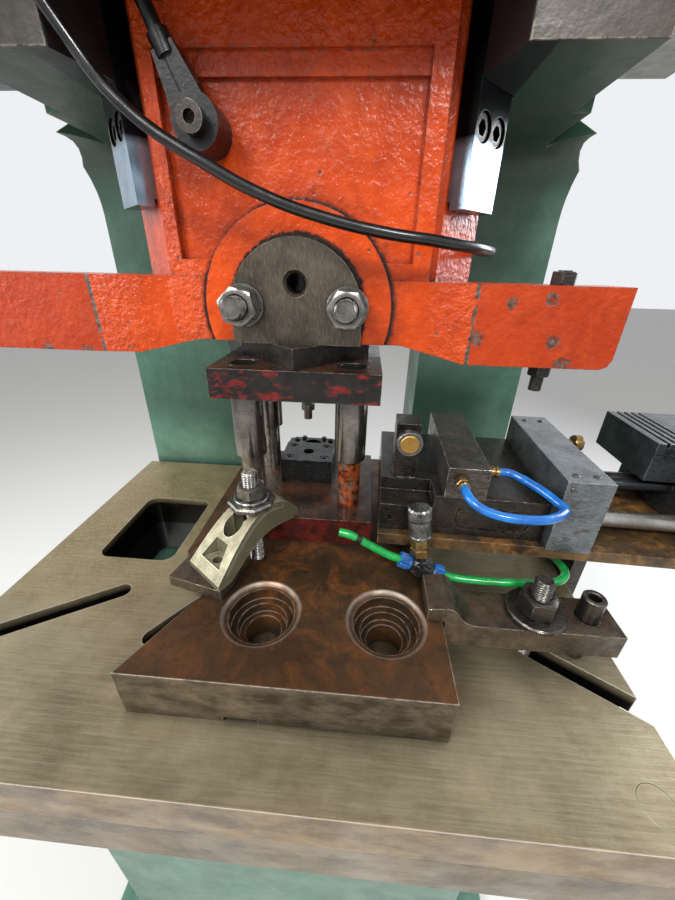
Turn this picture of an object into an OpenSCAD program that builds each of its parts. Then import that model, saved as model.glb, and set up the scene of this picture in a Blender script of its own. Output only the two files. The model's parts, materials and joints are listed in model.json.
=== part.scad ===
// Mechanical stamping press, open-back gap frame, with a mounted die set, clamps and an air feeder.
// Origin on the floor under the ram's centre line. +X right, +Y back, +Z up. Millimetres.

/* [Base and frame] */
// Thickness of the floor plate
base_t = 40; // [25:1:60]
// Width of the floor plate
base_w = 700; // [660:10:800]
// Front edge of the floor plate, ahead of the ram's centre line
base_front = 300; // [280:5:360]
// Rear edge of the floor plate, behind the centre line
base_back = 560; // [550:5:640]
// Anchor hole in the floor plate
anchor_d = 28; // [18:1:36]
// Inset of each anchor hole from the floor plate's edges
anchor_inset = 45; // [35:1:60]
// Half the gap between the side cheeks
cheek_in = 176; // [175:1:182]
// Half width of the frame at the head
head_half = 240; // [225:1:260]
// Half width of the frame at the pedestal's front
pedestal_half = 200; // [192:1:225]
// Half width of the frame at the columns
column_half = 310; // [280:5:330]
// Half width of the open back between the columns
open_half = 150; // [140:1:160]
// Front face of the head, ahead of the centre line
head_front = 80; // [70:1:95]
// Front face of the columns, behind the centre line
column_front = 180; // [176:1:200]
// Back of the frame
frame_back = 520; // [480:5:545]
// Front face of the pedestal, ahead of the centre line
pedestal_front = 250; // [220:5:275]
// Radius in the throat's upper corner
throat_r = 70; // [30:5:90]
// Height of the head above the crankshaft's centre
crown_rise = 210; // [190:5:260]
// Outside of the crankshaft's bearing bosses
boss_d = 150; // [130:2:156]
// Depth of the front cover, ahead of the head
cover_deep = 42; // [38:1:60]
// Wall of the frame's cross webs
web_t = 30; // [20:1:45]

/* [Bolster] */
// Height of the bolster's top above the floor
bolster_top = 820; // [760:5:900]
// Thickness of the bolster plate
bolster_t = 46; // [38:1:60]
// Width of the bolster plate
bolster_w = 634; // [622:2:680]
// Front edge of the bolster, ahead of the centre line
bolster_front = 295; // [270:1:310]
// Rear edge of the bolster, behind the centre line
bolster_back = 170; // [150:1:175]
// Thickness of the bed edge under the bolster
bed_t = 52; // [40:1:70]
// Width of a T-slot's mouth
slot_w = 18; // [14:1:20]
// Width of a T-slot's undercut
slot_under_w = 32; // [28:1:38]
// Height of a T-slot's undercut
slot_under_h = 14; // [10:1:16]
// Depth of a T-slot from the bolster's top
slot_deep = 34; // [30:1:36]
// Angle of the long diagonal T-slots from the X axis
slot_angle = 33; // [31:0.1:35]
// Distance of the diagonal T-slots' inner ends from the centre line
slot_start = 228; // [205:1:235]
// Angle of the front T-slots from the X axis
front_slot_angle = 54; // [50:1:56]
// Distance of the front T-slots' outer ends from the centre line
front_slot_end = 218; // [205:1:231]
// Drop hole through the bolster and the bed
drop_d = 90; // [60:5:110]

/* [Ram and drive] */
// Height from the bolster's top to the ram's face, with the ram up
daylight = 262; // [255:1:280]
// Stroke of the ram
stroke = 50; // [40:1:50]
// Half width of the ram's body
ram_half = 120; // [114:1:127]
// Front face of the ram's body, ahead of the centre line
ram_front = 32; // [23:1:34]
// Back of the ram's body, behind the centre line
ram_back = 75; // [72:1:80]
// Half width of the ram over its V edges
vee_half = 168; // [164:1:170]
// Depth of one flank of the V edge, measured square to the ram
vee_deep = 40; // [34:1:41]
// Height of the V edges above the ram's face
vee_lift = 54; // [52:1:60]
// Height of the ram
ram_h = 388; // [380:1:400]
// Right end of the ram's arm
arm_right = 294; // [270:1:310]
// Left end of the ram's arm
arm_left = 335; // [312:1:345]
// Front face of the arms, ahead of the centre line
arm_front = 45; // [40:1:50]
// Depth of the arms
arm_deep = 40; // [30:1:45]
// Bore for the die set's shank
shank_d = 40; // [32:1:44]
// Radius of the shank clamp cap
cap_r = 61; // [58:1:70]
// Radius of the cast boss round the cap
boss_r = 88; // [84:1:92]
// Front face of the cast boss
boss_front = 37; // [28:1:40]
// Front face of the clamp cap
cap_front = 47; // [42:1:50]
// Stud of the clamp cap
cap_stud_d = 20; // [16:1:22]
// Distance of each stud from the centre line
cap_stud_x = 48; // [46:1:54]
// Gib strip's thickness
gib_t = 15; // [12:1:16]
// Gib strip's width
gib_w = 46; // [40:1:48]
// Bronze liner on the back of a gib strip
liner_t = 3; // [3:0.5:6]
// Length of a gib strip
gib_len = 325; // [300:5:340]
// Main journal of the crankshaft
journal_d = 80; // [70:1:90]
// Crank pin
pin_d = 100; // [90:1:104]
// Wall of the bronze crank bushes
bush_wall = 10; // [6:1:14]
// Width of the connecting rod's big end
rod_w = 84; // [76:1:88]
// Distance between the crank pin and the ball
rod_len = 250; // [245:1:270]
// Ball of the adjusting screw
ball_d = 50; // [44:1:51]
// Outside of the ball cup
cup_d = 60; // [58:1:62]
// Adjusting screw
screw_d = 36; // [30:1:38]
// Flywheel
wheel_d = 640; // [560:10:680]
// Width of the flywheel's rim
wheel_w = 100; // [80:5:110]
// Motor pulley
pulley_d = 110; // [90:5:130]
// Distance of the motor's shaft behind the crankshaft
motor_y = 650; // [620:5:680]
// Motor body
motor_d = 190; // [160:5:210]
// Length of the motor body
motor_len = 300; // [260:5:320]

/* [Die set] */
// Thickness of the riser plate
riser_t = 50; // [40:1:55]
// Left edge of the riser plate
riser_left = 115; // [105:1:130]
// Right edge of the riser plate
riser_right = 147; // [140:1:150]
// Front edge of the riser plate
riser_front = 243; // [225:1:260]
// Rear edge of the riser plate
riser_back = 130; // [115:1:150]
// Width of the die shoes
shoe_w = 166; // [150:1:172]
// Depth of the die shoes
shoe_deep = 160; // [150:1:166]
// Depth of the upper shoe
upper_shoe_deep = 142; // [138:1:160]
// Thickness of the upper shoe
upper_shoe_t = 30; // [22:1:32]
// Thickness of the lower shoe
lower_shoe_t = 32; // [26:1:38]
// Guide post
post_d = 25; // [20:1:28]
// Outside of a guide bushing
bushing_d = 34; // [32:1:38]
// Length of a guide bushing
bushing_len = 101; // [90:1:110]
// Distance of the posts from the centre line, across
post_x = 55; // [50:1:60]
// Distance of the posts from the centre line, front to back
post_y = 42; // [40:1:52]
// Side of the square shank plate
plate_side = 99; // [94:1:116]
// Thickness of the shank plate
plate_t = 20; // [12:1:22]
// Die block's height
die_h = 32; // [26:1:36]

/* [Clamps] */
// Stud of the finger clamp
finger_stud_d = 20; // [16:1:20]
// Place of the finger clamp's stud along the diagonal T-slot
finger_stud_s = 280; // [262:1:290]
// Thickness of the finger clamp
finger_t = 26; // [24:1:36]
// Width of the finger clamp
finger_w = 42; // [40:1:60]
// Length of the finger clamp behind its nose
finger_len = 159; // [145:1:165]
// Stud of the arch clamp
arch_stud_d = 16; // [12:1:16]
// Width of the arch clamp
arch_w = 50; // [44:1:54]

/* [Feeder] */
// Turn of the feeder about the vertical
feeder_turn = -2; // [-8:0.5:-1]
// Thickness of the feeder's mounting plate
feeder_plate_t = 12; // [8:1:16]
// Length of the feeder's mounting plate
feeder_plate_len = 435; // [400:5:440]
// Depth of the feeder's mounting plate
feeder_plate_deep = 168; // [165:1:175]
// Height of the feeder's body
feeder_body_h = 44; // [40:1:54]
// Height of the blocks above the mounting plate
feeder_block_h = 76; // [70:1:92]
// Guide rod
guide_rod_d = 17; // [14:1:22]
// Travel of the feeder's carriage
feed_travel = 50; // [20:1:60]
// Air tube
tube_d = 8; // [6:0.5:9]
// Hose across the front of the ram
hose_d = 9; // [7:0.5:11]

/* [Fits] */
// Running clearance on a radius
run_fit = 0.05; // [0.02:0.01:0.1]
// Clearance of a pressed or screwed piece on its radius
seat_fit = 0.02; // [0.01:0.01:0.05]
// Clearance between the ram's flanks and their ways
way_fit = 0.1; // [0.05:0.05:0.3]
// Gap between curved faces of different bodies
free_gap = 0.4; // [0.3:0.1:0.8]

/* [Hidden] */
$fn = 64;
paint_green = "#46705a";
paint_red = "#e2401c";
steel = "#8c8a84";
dark_steel = "#33302e";
brown_steel = "#5a4334";
bronze = "#b08a4a";
black = "#1c1c1e";
root2 = sqrt(2);
over = 1;
// Heights that follow from the stack
ram_face = bolster_top + daylight;
ball_z = ram_face + 333;
throw = stroke / 2;
crank_z = ball_z + rod_len - throw;
frame_top = crank_z + crown_rise;
head_z = ram_face + 195;
gib_z = ram_face + 113;
bed_top = bolster_top - bolster_t;
bed_bottom = bed_top - bed_t;
riser_top = bolster_top + riser_t;
shoe_top = riser_top + lower_shoe_t;
vee_z = ram_face + vee_lift;
arm_top = ram_face + 57;
cap_stud_z = ram_face + 34;
cap_z = ram_face + 29;
flank_x = vee_half - vee_deep;
flank_front = -18;
apex_y = flank_front + vee_deep;
flank_back = apex_y + vee_deep;
plate_z = ram_face - plate_t;
upper_shoe_z = plate_z - upper_shoe_t;
// The crankshaft and its side pieces along X
boss_out = head_half + 26;
web_out = 92;
wheel_in = boss_out + 24;
belt_x = -(wheel_in + wheel_w / 2);
guard_in = wheel_in - 10;
guard_out = wheel_in + wheel_w + 26;
// The finger clamp stands on the right diagonal slot
finger_x = finger_stud_s * cos(slot_angle);
finger_y = -finger_stud_s * sin(slot_angle);
finger_nose_x = riser_right - 14;
finger_top = riser_top - 3;
// The feeder's own corner and levels
feeder_x = 106;
feeder_y = -111;
feeder_plate_z = shoe_top - 1;
feeder_z = feeder_plate_z + feeder_plate_t;
feeder_block_top = feeder_z + feeder_block_h;
rod_z = feeder_z + 15;
rod_front_y = 36;
rod_back_y = 122;
end_block_x = 140;
end_block_w = 40;
carriage_x = 250;
// The link from the ram to the oil pump's lever
link_x = -71;
link_z = ram_face + 163;
link_y = -50;
link_top_x = -136;
link_top_z = ram_face + 312;
lever_len = 97;
lever_tilt = atan(throw / lever_len);
pump_x = link_top_x + lever_len;
pump_z = link_top_z - throw;

// Points of a round stretch, from one angle to another
function arc(cx, cy, r, a0, a1, n = 8) =
    [for (i = [0:n]) let (a = a0 + (a1 - a0) * i / n) [cx + r * cos(a), cy + r * sin(a)]];

// The children and their mirror image across the centre plane
module both_sides() {
    children();
    mirror([1, 0, 0]) children();
}

// A cylinder along X, centred where it is placed
module rod_x(d, h) {
    rotate([0, 90, 0]) cylinder(d = d, h = h, center = true);
}

// A cylinder along Y from its front end backwards
module rod_y(d, h) {
    rotate([-90, 0, 0]) cylinder(d = d, h = h);
}

// A hexagon prism across flats, standing on its face
module hexagon(af, h) {
    cylinder(d = af / cos(30), h = h, $fn = 6);
}

// A nut: hexagon with its corners turned off, and its bore
module nut(af, h, bore) {
    difference() {
        intersection() {
            hexagon(af, h);
            union() {
                cylinder(d1 = af * 1.02, d2 = af * 1.2, h = h * 0.14);
                translate([0, 0, h * 0.14]) cylinder(d = af * 1.2, h = h * 0.72);
                translate([0, 0, h * 0.86]) cylinder(d1 = af * 1.2, d2 = af * 1.02, h = h * 0.14);
            }
        }
        translate([0, 0, -over]) cylinder(d = bore, h = h + 2 * over);
    }
}

module washer(od, id, t) {
    difference() {
        cylinder(d = od, h = t);
        translate([0, 0, -over]) cylinder(d = id, h = t + 2 * over);
    }
}

// A hexagon bolt, head up, shank below
module hex_bolt(d, len) {
    nut(d * 1.5, d * 0.65, 0.01);
    translate([0, 0, -len]) cylinder(d = d, h = len + over);
}

// A tube along a list of points: one closed skin with a ring square to the path at each point
module swept_tube(path, d, sides = 8) {
    n = len(path);
    function unit(v) = v / norm(v);
    function along(i) = unit(path[min(i + 1, n - 1)] - path[max(i - 1, 0)]);
    function side(i) = unit(cross(along(i), abs(along(i)[2]) > 0.95 ? [0, 1, 0] : [0, 0, 1]));
    rings = [for (i = [0:n - 1]) for (k = [0:sides - 1])
        let (a = 360 * k / sides, s = side(i), u = cross(s, along(i)))
        path[i] + (cos(a) * s + sin(a) * u) * d / 2];
    walls = [for (i = [0:n - 2]) for (k = [0:sides - 1])
        [i * sides + k, i * sides + (k + 1) % sides,
         (i + 1) * sides + (k + 1) % sides, (i + 1) * sides + k]];
    start = [for (k = [0:sides - 1]) sides - 1 - k];
    finish = [for (k = [0:sides - 1]) (n - 1) * sides + k];
    polyhedron(points = rings, faces = concat(walls, [start], [finish]));
}

module base_plate() {
    color(paint_green) difference() {
        translate([-base_w / 2, -base_front, 0]) cube([base_w, base_front + base_back, base_t]);
        for (x = [-1, 1], y = [-base_front + anchor_inset, base_back - anchor_inset])
            translate([x * (base_w / 2 - anchor_inset), y, -over])
                cylinder(d = anchor_d, h = base_t + 2 * over);
        base_bolt_places() translate([0, 0, -over - base_t]) cylinder(d = 16.2, h = base_t + 2 * over);
    }
}

// Side view of one cheek: pedestal, column and overhanging head
module cheek_profile() {
    polygon(concat(
        [[-pedestal_front, base_t], [-pedestal_front, bed_bottom + over],
         [column_front, bed_bottom + over]],
        arc(column_front - throat_r, head_z - throat_r, throat_r, 0, 90),
        [[-head_front, head_z], [-head_front, frame_top - 110], [-head_front + 90, frame_top],
         [frame_back - 120, frame_top], [frame_back, frame_top - 90], [frame_back, base_t]]));
}

// Plan of one cheek: narrow at the front, flaring out to the column
module cheek_plan(front_half) {
    flare_y = 40;
    polygon(concat(
        [[cheek_in, -pedestal_front - over], [front_half, -pedestal_front - over],
         [front_half, flare_y], [front_half + 16, flare_y]],
        arc(column_half, column_front - 50, column_half - front_half - 16, 180, 270, 1),
        [[column_half, column_front], [column_half, frame_back], [cheek_in, frame_back]]));
}

// Front view of one cheek: wide columns that draw in to the head
module cheek_front() {
    polygon([[cheek_in, 0], [column_half + over, 0], [column_half + over, head_z - 20],
        [head_half + 16, head_z + 35], [head_half + 16, frame_top + over], [cheek_in, frame_top + over]]);
}

module cheek() {
    intersection() {
        translate([0, frame_back + over, 0]) rotate([90, 0, 0])
            linear_extrude(frame_back + pedestal_front + 3 * over) cheek_front();
        translate([cheek_in, 0, 0]) rotate([90, 0, 90])
            linear_extrude(column_half - cheek_in + over) cheek_profile();
        union() {
            linear_extrude(bed_top) cheek_plan(pedestal_half);
            translate([0, 0, bed_top - over]) linear_extrude(frame_top - bed_top + 2 * over)
                cheek_plan(head_half);
        }
    }
}

// Front flank of the ram's V edge, as a frame: x runs outwards along the flank, y runs into the ram
module on_flank() {
    translate([flank_x, flank_front, 0]) rotate([0, 0, 45]) children();
}

module frame_ways() {
    way_h = gib_z + gib_len - head_z + 10;
    strip_face = liner_t + gib_t + way_fit;
    inner = [flank_x + (2 + strip_face) / root2, flank_front + (2 - strip_face) / root2];
    outer = inner + [gib_w, gib_w] / root2;
    translate([0, 0, head_z]) linear_extrude(way_h) {
        polygon([[cheek_in - 19, -head_front], [cheek_in + over, -head_front],
            [cheek_in + over, outer[1]], [outer[0], outer[1]], inner]);
        polygon([[vee_half + way_fit * root2, apex_y], [cheek_in + over, apex_y],
            [cheek_in + over, ram_back + 25], [flank_x + 2, ram_back + 25],
            [flank_x + 2, flank_back - 2 + way_fit * root2]]);
    }
}

// Height of the foot lugs
lug_h = 28;

module frame() {
    color(paint_green) difference() {
        union() {
            both_sides() {
                cheek();
                frame_ways();
                translate([(cheek_in + boss_out) / 2, 0, crank_z]) rod_x(boss_d, boss_out - cheek_in);
                translate([pedestal_half - over, -220, base_t]) cube([56, 70, lug_h]);
                translate([200, frame_back - over, base_t]) cube([80, 38, lug_h]);
                translate([open_half, column_front, bed_bottom])
                    cube([cheek_in - open_half + over, 60, head_z - bed_bottom + over]);
            }
            translate([-bolster_w / 2, -bolster_front, bed_bottom])
                cube([bolster_w, bolster_front + column_front + over, bed_t]);
            translate([-cheek_in - over, -pedestal_front, base_t])
                cube([2 * cheek_in + 2 * over, web_t, bed_bottom - base_t - 120]);
            translate([-cheek_in - over, frame_back - web_t, head_z + 60])
                cube([2 * cheek_in + 2 * over, web_t, frame_top - head_z - 150]);
            translate([-cheek_in - over, -head_front + 90, frame_top - web_t])
                cube([2 * cheek_in + 2 * over, frame_back + head_front - 210, web_t]);
            translate([-cheek_in - over, frame_back - 160, base_t])
                cube([2 * cheek_in + 2 * over, web_t, bed_bottom - base_t + over]);
            translate([-cheek_in - over, column_front - 20, bed_bottom])
                cube([2 * cheek_in + 2 * over, 80, bed_t]);
        }
        translate([0, 0, crank_z]) rod_x(journal_d + 2 * bush_wall + 2 * seat_fit, 2 * boss_out + 10);
        translate([0, 0, bed_bottom - over]) cylinder(d = drop_d, h = bed_t + 2 * over);
        window_cut(bed_bottom);
        bolt_places(bolster_top) translate([0, 0, -bolster_t - 30.5]) cylinder(d = 16.2, h = 32);
        base_bolt_places() translate([0, 0, -over]) cylinder(d = 17, h = 30);
    }
}

// Four bolts that hold the bolster on the bed
module bolt_places(z) {
    for (x = [-1, 1], y = [-bolster_front + 26, bolster_back - 24])
        translate([x * (bolster_w / 2 - 32), y, z]) children();
}

// Bolts through the foot lugs into the floor plate
module base_bolt_places() {
    for (p = [[pedestal_half + 30, -185], [240, frame_back + 20]], side = [-1, 1])
        translate([side * p[0], p[1], base_t]) children();
}

module frame_bolts() {
    color(dark_steel) {
        base_bolt_places() translate([0, 0, lug_h]) hex_bolt(16, lug_h + base_t - 4);
        bolt_places(bolster_top - 16.5) difference() {
                cylinder(d = 24, h = 16);
            translate([0, 0, 8]) hexagon(14, 10);
        }
        bolt_places(bolster_top - 16.5) translate([0, 0, -bolster_t + 16.5 - 28])
            cylinder(d = 16, h = bolster_t - 16.5 + 28 + 0.01);
    }
}

// One T-slot from an inner to an outer distance, along X
module t_slot(s0, s1, through) {
    translate([s0, -slot_w / 2, -slot_deep]) cube([s1 - s0, slot_w, slot_deep + over]);
    translate([s0, -slot_under_w / 2, -slot_deep]) cube([s1 - s0, slot_under_w, slot_under_h]);
    translate([s0, 0, -slot_deep]) cylinder(d = slot_w, h = slot_deep + over);
    translate([s0, 0, -slot_deep]) cylinder(d = slot_under_w, h = slot_under_h);
    if (!through) {
        translate([s1, 0, -slot_deep]) cylinder(d = slot_w, h = slot_deep + over);
        translate([s1, 0, -slot_deep]) cylinder(d = slot_under_w, h = slot_under_h);
    }
}

module bolster_plate() {
    color(steel) difference() {
        translate([-bolster_w / 2, -bolster_front, bed_top])
            cube([bolster_w, bolster_front + bolster_back, bolster_t]);
        translate([0, 0, bed_top - over]) cylinder(d = drop_d, h = bolster_t + 2 * over);
        translate([0, 0, bolster_top]) {
            rotate([0, 0, -slot_angle]) t_slot(slot_start, 500, true);
            rotate([0, 0, 180 + slot_angle]) t_slot(slot_start, 500, true);
            rotate([0, 0, 180 + front_slot_angle]) t_slot(90, front_slot_end, false);
            rotate([0, 0, -front_slot_angle]) t_slot(90, front_slot_end, false);
        }
        window_cut(bed_top);
        bolt_places(bolster_top - 16.5) cylinder(d = 26, h = 30);
        bolt_places(bed_top - over) cylinder(d = 17, h = bolster_t);
    }
}

// The bolster's rectangular window with round corners
module window_cut(z) {
    x0 = -255;
    y0 = -75;
    w = 95;
    h = 130;
    r = 14;
    deep = max(bolster_t, bed_t) + 2 * over;
    translate([0, 0, z - over]) {
        translate([x0 + r, y0, 0]) cube([w - 2 * r, h, deep]);
        translate([x0, y0 + r, 0]) cube([w, h - 2 * r, deep]);
        for (x = [x0 + r, x0 + w - r], y = [y0 + r, y0 + h - r])
            translate([x, y, 0]) cylinder(r = r, h = deep);
    }
}

// Places of the riser plate's two big holes
riser_holes = [[-15, -177], [97, -177]];
// Plan of the riser plate, with the notch in its left side
riser_notch = [[-115, -110], [-70, -152]];

module riser_plate() {
    color(brown_steel) difference() {
        translate([0, 0, bolster_top]) linear_extrude(riser_t) polygon(concat(
            [[-riser_left, -riser_front], [riser_right, -riser_front], [riser_right, riser_back],
             [-riser_left, riser_back]], riser_notch));
        for (p = riser_holes) translate([p[0], p[1], bolster_top]) {
            translate([0, 0, -over]) cylinder(d = 32, h = riser_t + 2 * over);
            translate([0, 0, riser_t - 26]) cylinder(d = 44, h = 40);
            translate([0, 0, riser_t - 16]) cylinder(d = 58, h = 40);
            translate([0, 0, riser_t - 4]) cylinder(d1 = 62, d2 = 72, h = 5);
        }
        translate([-32, -riser_front - over, bolster_top - over]) cube([27, 12, 5 + over]);
        translate([0, 0, bolster_top - over]) cylinder(d = 50, h = riser_t + 2 * over);
        translate([arch_stud_x, arch_stud_y, bolster_top + 8])
            cylinder(d = arch_stud_d + 2 * seat_fit, h = riser_t);
    }
}

module post_places() {
    for (x = [-1, 1], y = [-1, 1]) translate([x * post_x, y * post_y, 0]) children();
}

module lower_shoe() {
    color(dark_steel) difference() {
        translate([-shoe_w / 2, -shoe_deep / 2, riser_top]) cube([shoe_w, shoe_deep, lower_shoe_t]);
        post_places() translate([0, 0, riser_top - over])
            cylinder(d = post_d + 2 * seat_fit, h = lower_shoe_t + 2 * over);
        translate([0, 20, riser_top - over]) cylinder(d = 30, h = lower_shoe_t + 2 * over);
    }
}

module guide_posts() {
    color(steel) post_places() translate([0, 0, riser_top])
        cylinder(d = post_d, h = ram_face - stroke - 22 - riser_top);
}

module die_block() {
    color(steel) difference() {
        translate([-32, -6, shoe_top]) cube([64, 52, die_h]);
        translate([0, 20, shoe_top - over]) cylinder(d = 14, h = die_h + 2 * over);
        for (x = [-22, 22], y = [4, 36])
            translate([x, y, shoe_top + die_h - 9]) cylinder(d = 11, h = 10);
    }
}

module die_plate() {
    color(steel) difference() {
        translate([0, 0, shoe_top]) linear_extrude(die_h - 8)
            polygon([[-30, 46], [30, 46], [34, 52], [34, 76], [22, 80], [-22, 80], [-34, 76], [-34, 52]]);
        translate([0, 63, shoe_top - over]) cylinder(d = 22, h = die_h + 2 * over);
    }
}

/* The arch clamp: nose on the lower shoe, heel on the packing block, stud into the riser plate */
arch_nose = [-8, -67];
arch_turn = 232.8;
arch_len = 111;
arch_nose_w = 20;
arch_rise = 36;
arch_stud_s = 50;
packing_h = 12;
arch_heel_t = 6;
arch_stud_x = arch_nose[0] + arch_stud_s * cos(arch_turn);
arch_stud_y = arch_nose[1] + arch_stud_s * sin(arch_turn);

// Height of the clamp's back over the riser plate, from the nose (0) to the heel (1)
function arch_back(t) = lower_shoe_t + 9
    + (packing_h + arch_heel_t - lower_shoe_t - 9) * t + arch_rise * sin(180 * pow(t, 0.85));

// Local frame of the clamp: x runs from the nose tip to the heel, z up from the riser plate
module on_arch() {
    translate([arch_nose[0], arch_nose[1], riser_top]) rotate([0, 0, arch_turn]) children();
}

// Plan of the clamp, narrow at the nose, drawn in by an amount
module arch_plan(inset) {
    translate([0, 0, -over]) linear_extrude(100) polygon([
        [-over, -arch_nose_w / 2 + inset], [arch_len + over, -arch_w / 2 + inset],
        [arch_len + over, arch_w / 2 - inset], [-over, arch_nose_w / 2 - inset]]);
}

module arch_clamp() {
    h0 = lower_shoe_t;
    color("#b9aa7c") on_arch() difference() {
        intersection() {
            translate([0, arch_w / 2 + over, 0]) rotate([90, 0, 0]) linear_extrude(arch_w + 2 * over)
                polygon(concat([[0, h0], [0, h0 + 9]],
                    [for (i = [1:9]) [arch_len * i / 10, arch_back(i / 10)]],
                    [[arch_len, packing_h + arch_heel_t], [arch_len, packing_h], [arch_len - 14, packing_h]],
                    [for (i = [8:-1:1]) let (t = i / 9)
                        [12 + (arch_len - 28) * t, h0 - (h0 - packing_h) * t + 14 * sin(180 * t)]],
                    [[10, h0]]));
            arch_plan(0);
        }
        translate([40, -arch_stud_d / 2 - 1, 0]) cube([33, arch_stud_d + 2, 90]);
        for (x = [40, 51, 62, 73]) translate([x, 0, 0]) cylinder(d = arch_stud_d + 5, h = 90);
        // Heel pocket, open at the top, with a hole through its floor
        translate([0, 0, packing_h + 12]) linear_extrude(60)
            polygon([[87, -9], [87, 9], [103, 15], [103, -15]]);
        translate([95, 0, 0]) cylinder(d = 10, h = 90);
        // Groove along each side
        difference() {
            translate([0, arch_w, 0]) rotate([90, 0, 0]) linear_extrude(2 * arch_w) polygon(concat(
                [for (i = [2:9]) [arch_len * i / 10, arch_back(i / 10) - 4]],
                [for (i = [9:-1:2]) [arch_len * i / 10, arch_back(i / 10) - 8]]));
            arch_plan(1.5);
        }
    }
}

module arch_clamp_fasteners() {
    seat_z = riser_top + arch_back(0.4) + 0.1;
    color(steel) translate([arch_stud_x, arch_stud_y, 0]) {
        translate([0, 0, bolster_top + 10]) cylinder(d = arch_stud_d, h = seat_z + 36 - bolster_top - 10);
        translate([0, 0, seat_z]) difference() {
            cylinder(d = 47, h = 6, $fn = 8);
            translate([0, 0, -over]) cylinder(d = arch_stud_d + 0.4, h = 8);
        }
        translate([0, 0, seat_z + 6]) nut(24, 16, arch_stud_d + 0.2);
    }
}

module packing_block() {
    color(dark_steel) translate([-110, -156, riser_top]) rotate([0, 0, -14]) cube([57, 52, packing_h]);
}

// Side outline of the finger clamp: stepped nose, flat body
module finger_clamp() {
    z0 = finger_top - finger_t;
    nose_z = riser_top;
    color(steel) difference() {
        translate([0, finger_y + finger_w / 2, 0]) rotate([90, 0, 0]) linear_extrude(finger_w)
            polygon(concat([[finger_nose_x, nose_z], [finger_nose_x, nose_z + 14]],
                arc(finger_nose_x + 16, nose_z + 4, 12, 90, 45, 4),
                arc(finger_nose_x + 46, z0 + finger_t + 20, 20, 200, 270, 7),
                [[finger_nose_x + 14 + finger_len, z0 + finger_t],
                [finger_nose_x + 14 + finger_len, z0], [finger_nose_x + 16, z0],
                [finger_nose_x + 16, nose_z]]));
        translate([finger_x, finger_y, z0 - over])
            cylinder(d = finger_stud_d + 3, h = finger_t + 2 * over);
        translate([jack_x, finger_y, z0 - over]) cylinder(d = jack_d + 2 * seat_fit, h = finger_t + 9);
    }
}

jack_d = 20;
jack_x = finger_x + 47;

module finger_clamp_fasteners() {
    top = finger_top;
    color(dark_steel) {
        // T-bolt, washer and nut
        translate([finger_x, finger_y, 0]) {
            translate([0, 0, bolster_top - slot_deep + slot_under_h - 1])
                cylinder(d = finger_stud_d - 3, h = top + 41 - bolster_top + slot_deep - slot_under_h + 1);
            translate([0, 0, bolster_top - slot_deep + 0.3]) rotate([0, 0, -slot_angle])
                translate([-14, -14, 0]) cube([28, 28, slot_under_h - 0.8]);
            translate([0, 0, top]) washer(52, finger_stud_d, 5);
            translate([0, 0, top + 5]) nut(30, 18, finger_stud_d - 2.8);
        }
        // Hollow jack screw, standing on the bolster
        translate([jack_x, finger_y, bolster_top]) difference() {
            cylinder(d = jack_d, h = top + 24 - bolster_top);
            translate([0, 0, top - bolster_top]) cylinder(d = 11, h = 26);
        }
    }
}

// One gib strip with its liner behind it and the screws' seats
module gib_solid() {
    difference() {
        union() {
            on_flank() translate([2, -way_fit - liner_t - gib_t, gib_z])
                cube([gib_w, gib_t, gib_len]);
            on_flank() translate([2, -way_fit - liner_t, gib_z + 6]) cube([gib_w, liner_t, gib_len - 6]);
        }
        gib_screw_places() translate([0, 0, -11]) cylinder(d = 20, h = 20);
        gib_screw_places() translate([0, 0, -gib_t - 1]) cylinder(d = 12.2, h = 30);
    }
}

// Screw places on the strip's outer face, screw heads outwards
module gib_screw_places() {
    for (s = [12, 34]) on_flank()
        translate([2 + s, -way_fit - liner_t - gib_t, gib_z + 56]) rotate([90, 0, 0]) children();
}

module gib_right() { color(steel) gib_solid(); }
module gib_left() { color(steel) mirror([1, 0, 0]) gib_solid(); }

module gib_screws() {
    color(dark_steel) both_sides() gib_screw_places() translate([0, 0, -10.9])
        difference() {
            union() {
                cylinder(d = 18, h = 9);
                translate([0, 0, -gib_t + 11.2]) cylinder(d = 12, h = gib_t - 11 + over);
            }
            translate([0, 0, 3]) hexagon(10, 10);
        }
}

module crank_bushes() {
    color(bronze) both_sides() translate([(cheek_in + boss_out) / 2, 0, crank_z]) difference() {
        rod_x(journal_d + 2 * bush_wall, boss_out - cheek_in);
        rod_x(journal_d + 2 * run_fit, boss_out - cheek_in + 2 * over);
    }
}

cover_z = head_z + 60;
module front_cover() {
    wall = 3;
    w = 2 * cheek_in + 60;
    h = frame_top - 115 - cover_z;
    y0 = -head_front - cover_deep;
    color(paint_green) difference() {
        translate([-w / 2, y0, cover_z]) cube([w, cover_deep, h]);
        translate([-w / 2 + wall, y0 + wall, cover_z - over]) cube([w - 2 * wall, cover_deep, h - wall + over]);
        for (i = [0:4]) translate([-60, y0 - over, cover_z + h - 120 + i * 18]) cube([120, wall + 2 * over, 7]);
    }
}

module flywheel_guard() {
    r = wheel_d / 2 + 22;
    color(paint_green) difference() {
        guard_shape(r, guard_in - 4, guard_out);
        guard_shape(r - 3, guard_in, guard_out - 3);
        translate([-guard_in, 0, crank_z]) rod_x(journal_d + 130, 30);
        translate([-guard_in, motor_y, crank_z]) rod_x(110, 30);
    }
}

// Belt guard's outline round both pulleys, between two distances left of the centre
module guard_shape(r, x0, x1) {
    rp = pulley_d / 2 + 22 - (wheel_d / 2 + 22 - r);
    lean = asin((r - rp) / motor_y);
    outline = concat(arc(0, 0, r, 90 - lean, 270 + lean, 28), arc(motor_y, 0, rp, -90 + lean, 90 - lean, 10));
    translate([-x1, 0, crank_z]) rotate([90, 0, 90]) linear_extrude(x1 - x0) polygon(outline);
}

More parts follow.
